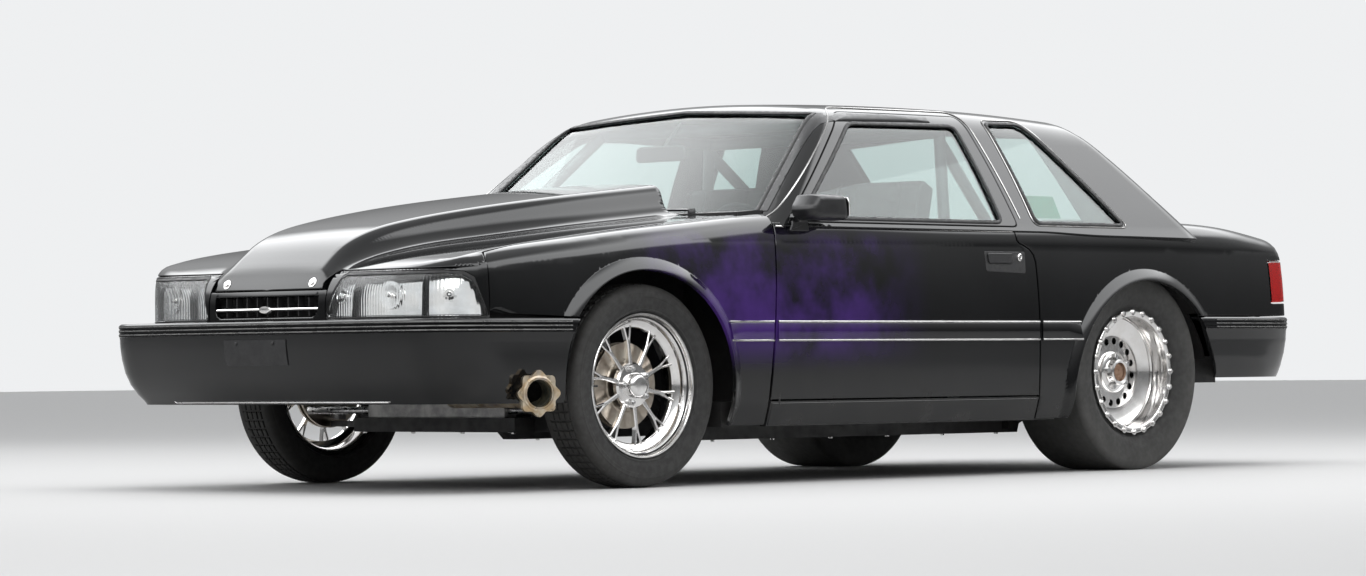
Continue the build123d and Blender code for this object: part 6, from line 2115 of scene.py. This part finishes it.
REAR_HUB = [
    (0.034, 0.69), (0.072, 0.69), (0.076, 0.712), (0.074, 0.722), (0.066, 0.726), (0.05, 0.726),
    (0.046, 0.748), (0.04, 0.75), (0.034, 0.748),
]
REAR_AXLE_END = [(0, 0.69), (0.0335, 0.69), (0.0335, 0.736), (0.028, 0.739), (0.014, 0.74), (0, 0.74)]
HOLE_COUNT = 16
HOLE_RING = 0.113
HOLE_RADIUS = 0.0125


def tyre(middle, rim, half):
    """Closed tyre profile from its outer half: distance from the axle, then from the middle."""
    outer = [(radius, middle + side) for radius, side in half]
    inner = [(radius, middle - side) for radius, side in half[::-1]]
    return outer + [(rim, middle)] + inner


FRONT_TYRE_MIDDLE = 0.745
FRONT_TYRE = [
    (0.3235, 0), (0.3235, 0.046), (0.3262, 0.048), (0.3262, 0.06), (0.324, 0.069), (0.3175, 0.0765),
    (0.306, 0.0808), (0.3, 0.0812), (0.299, 0.082), (0.286, 0.082), (0.285, 0.0812), (0.27, 0.0805),
    (0.256, 0.0775), (0.248, 0.075), (0.2455, 0.076), (0.2425, 0.075), (0.24, 0.07), (0.237, 0.0625),
    (0.233, 0.06), (0.2192, 0.054),
]
REAR_TYRE_MIDDLE = 0.678
REAR_TYRE = [
    (0.3555, 0), (0.3555, 0.132), (0.3535, 0.14), (0.347, 0.1462), (0.336, 0.1494), (0.323, 0.15),
    (0.306, 0.15), (0.29, 0.1488), (0.276, 0.146), (0.262, 0.1412), (0.25, 0.135), (0.242, 0.13),
    (0.236, 0.123), (0.2325, 0.119), (0.2148, 0.117),
]
TREAD_BLOCKS = ((-0.036, 0.016), (-0.012, 0.02), (0.012, 0.02), (0.036, 0.016))


def about_axle(shape, axle):
    return np.asarray(shape[0], float) + (axle[0], 0, axle[1]), shape[1]


def front_wheel(side, hand):
    name = body = f"front_wheel_{side}"
    at = {"Axle": (FRONT_AXLE[0], 0, FRONT_AXLE[1])}
    centre = at["Axle"]
    hub = joined(lathe(FRONT_RIM, centre, segments=120), lathe(HUB_DISC, centre), lathe(HUB_CAP, centre))
    solid_piece(f"{name}_rim", *hand(hub), POLISHED, body, "polished_wheel", name)
    spoke = hand(slab(FRONT_SPOKE, 0.749, 0.768, 1, 0.003))
    repeated(f"{name}_spokes", spoke, ROUND, {"Copies": 10, "Start Angle": 0.12, **at}, POLISHED, body,
             "polished_wheel")
    nut = hand(joined(slab(circle(0.01, 6) + (0, 0.057), 0.771, 0.786, 1, 0.0015),
                      slab(circle(0.0055, 10) + (0, 0.057), 0.785, 0.792, 1, 0.001)))
    repeated(f"{name}_nuts", nut, ROUND, {"Copies": 5, "Start Angle": 0.3, **at}, STEEL, body,
             "machined_steel")
    solid_piece(f"brake_disc_{side}_turned", *hand(lathe(FRONT_DISC, centre)), DISC, body,
                "machined_steel", f"brake_disc_{side}")
    vane = hand(slab(box((-0.0015, 0.095), (0.0015, 0.1315)), 0.7085, 0.7195, 1, 0.0003))
    repeated(f"brake_disc_{side}_vanes", vane, ROUND, {"Copies": 36, **at}, DISC, body, "machined_steel")
    skin = lathe(tyre(FRONT_TYRE_MIDDLE, 0.2192, FRONT_TYRE), centre, segments=128)
    solid_piece(f"front_tyre_{side}_carcass", *hand(skin), FRONT_RUBBER, body, "drag_rubber",
                f"front_tyre_{side}")
    blocks = joined(*(
        slab([(-0.0135, y - w / 2), (0.0115, y - w / 2), (0.0135, y + w / 2), (-0.0115, y + w / 2)],
             0.322, 0.3297, 2, 0.0012) for y, w in TREAD_BLOCKS))
    blocks = blocks[0] + (0, FRONT_TYRE_MIDDLE, 0), blocks[1]
    repeated(f"front_tyre_{side}_tread", hand(blocks), ROUND, {"Copies": 64, **at}, FRONT_RUBBER, body,
             "drag_rubber")
    valve = bar((0.212, 0.79, 0), (0.201, 0.806, 0), 0.0035, 10)
    solid_piece(f"{name}_valve", *hand(about_axle(valve, FRONT_AXLE)), TRIM, body, "trim_black")


def rear_wheel(side, hand):
    name = body = f"rear_wheel_{side}"
    at = {"Axle": (REAR_AXLE[0], 0, REAR_AXLE[1])}
    centre = at["Axle"]
    turn = np.linspace(0, math.tau, HOLE_COUNT, endpoint=False) + 0.1
    holes = [circle(HOLE_RADIUS, 20)[::-1] + (HOLE_RING * math.cos(a), HOLE_RING * math.sin(a)) for a in turn]
    plate = about_axle(drilled([circle(0.1335, 72), *holes, circle(0.04, 36)[::-1]], 0.7, 0.712), REAR_AXLE)
    rim = joined(lathe(REAR_RIM, centre, segments=120), lathe(REAR_BOWL, centre, segments=96), plate,
                 lathe(REAR_HUB, centre))
    solid_piece(f"{name}_rim", *hand(rim), POLISHED, body, "polished_wheel", name)
    solid_piece(f"{name}_beadlock", *hand(lathe(REAR_BEADLOCK, centre, segments=120)), POLISHED, body,
                "polished_wheel")
    boss = lathe([(0, 0.7985), (0.0115, 0.7985), (0.0125, 0.8), (0.0125, 0.81), (0.0115, 0.8112),
                  (0, 0.8112)], (0, 0, 0.217), segments=20)
    repeated(f"{name}_bosses", hand(boss), ROUND, {"Copies": 24, **at}, POLISHED, body, "polished_wheel")
    bolt = slab(circle(0.0072, 6) + (0, 0.217), 0.811, 0.8185, 1, 0.001)
    repeated(f"{name}_bolts", hand(bolt), ROUND, {"Copies": 24, **at}, BOLT, body, "machined_steel")
    solid_piece(f"{name}_hub", *hand(lathe(REAR_AXLE_END, centre, segments=48)), RUSTY, body,
                "machined_steel")
    nut = slab(circle(0.0105, 6) + (0, 0.0575), 0.725, 0.744, 1, 0.0015)
    repeated(f"{name}_nuts", hand(nut), ROUND, {"Copies": 5, "Start Angle": 0.2, **at}, STEEL, body,
             "machined_steel")
    place, faces = lathe(tyre(REAR_TYRE_MIDDLE, 0.2148, REAR_TYRE), segments=160)
    radius, angle = np.hypot(place[:, 0], place[:, 2]), np.arctan2(place[:, 2], place[:, 0])
    # The soft sidewall lies in slanting wrinkles
    wave = np.sin(14 * angle + 26 * radius) + 0.6 * np.sin(9 * angle - 40 * radius)
    depth = np.clip((radius - 0.245) / 0.03, 0, 1) * np.clip((0.345 - radius) / 0.03, 0, 1)
    place[:, 1] -= np.sign(place[:, 1] - REAR_TYRE_MIDDLE) * depth * 0.0016 * (1.6 + wave)
    solid_piece(f"rear_tyre_{side}_carcass", *hand(about_axle((place, faces), REAR_AXLE)), REAR_RUBBER,
                body, "drag_rubber", f"rear_tyre_{side}", sharp=60)
    valve = bar((0.204, 0.775, 0), (0.191, 0.783, 0), 0.0035, 10)
    solid_piece(f"{name}_valve", *hand(about_axle(valve, REAR_AXLE)), TRIM, body, "trim_black")


def build_wheels():
    for side, hand, _ in HANDS:
        front_wheel(side, hand)
        rear_wheel(side, hand)


def build_body():
    front_fenders()
    doors()
    door_frames()
    quarter_panels()
    hood()
    decklid()
    tail_panel()
    nose_panel()
    roof()
    bumper_covers()


camera()
stage()
dress_nodes()
build_body()
build_trim()
build_wheels()
build_inside()
build_underneath()
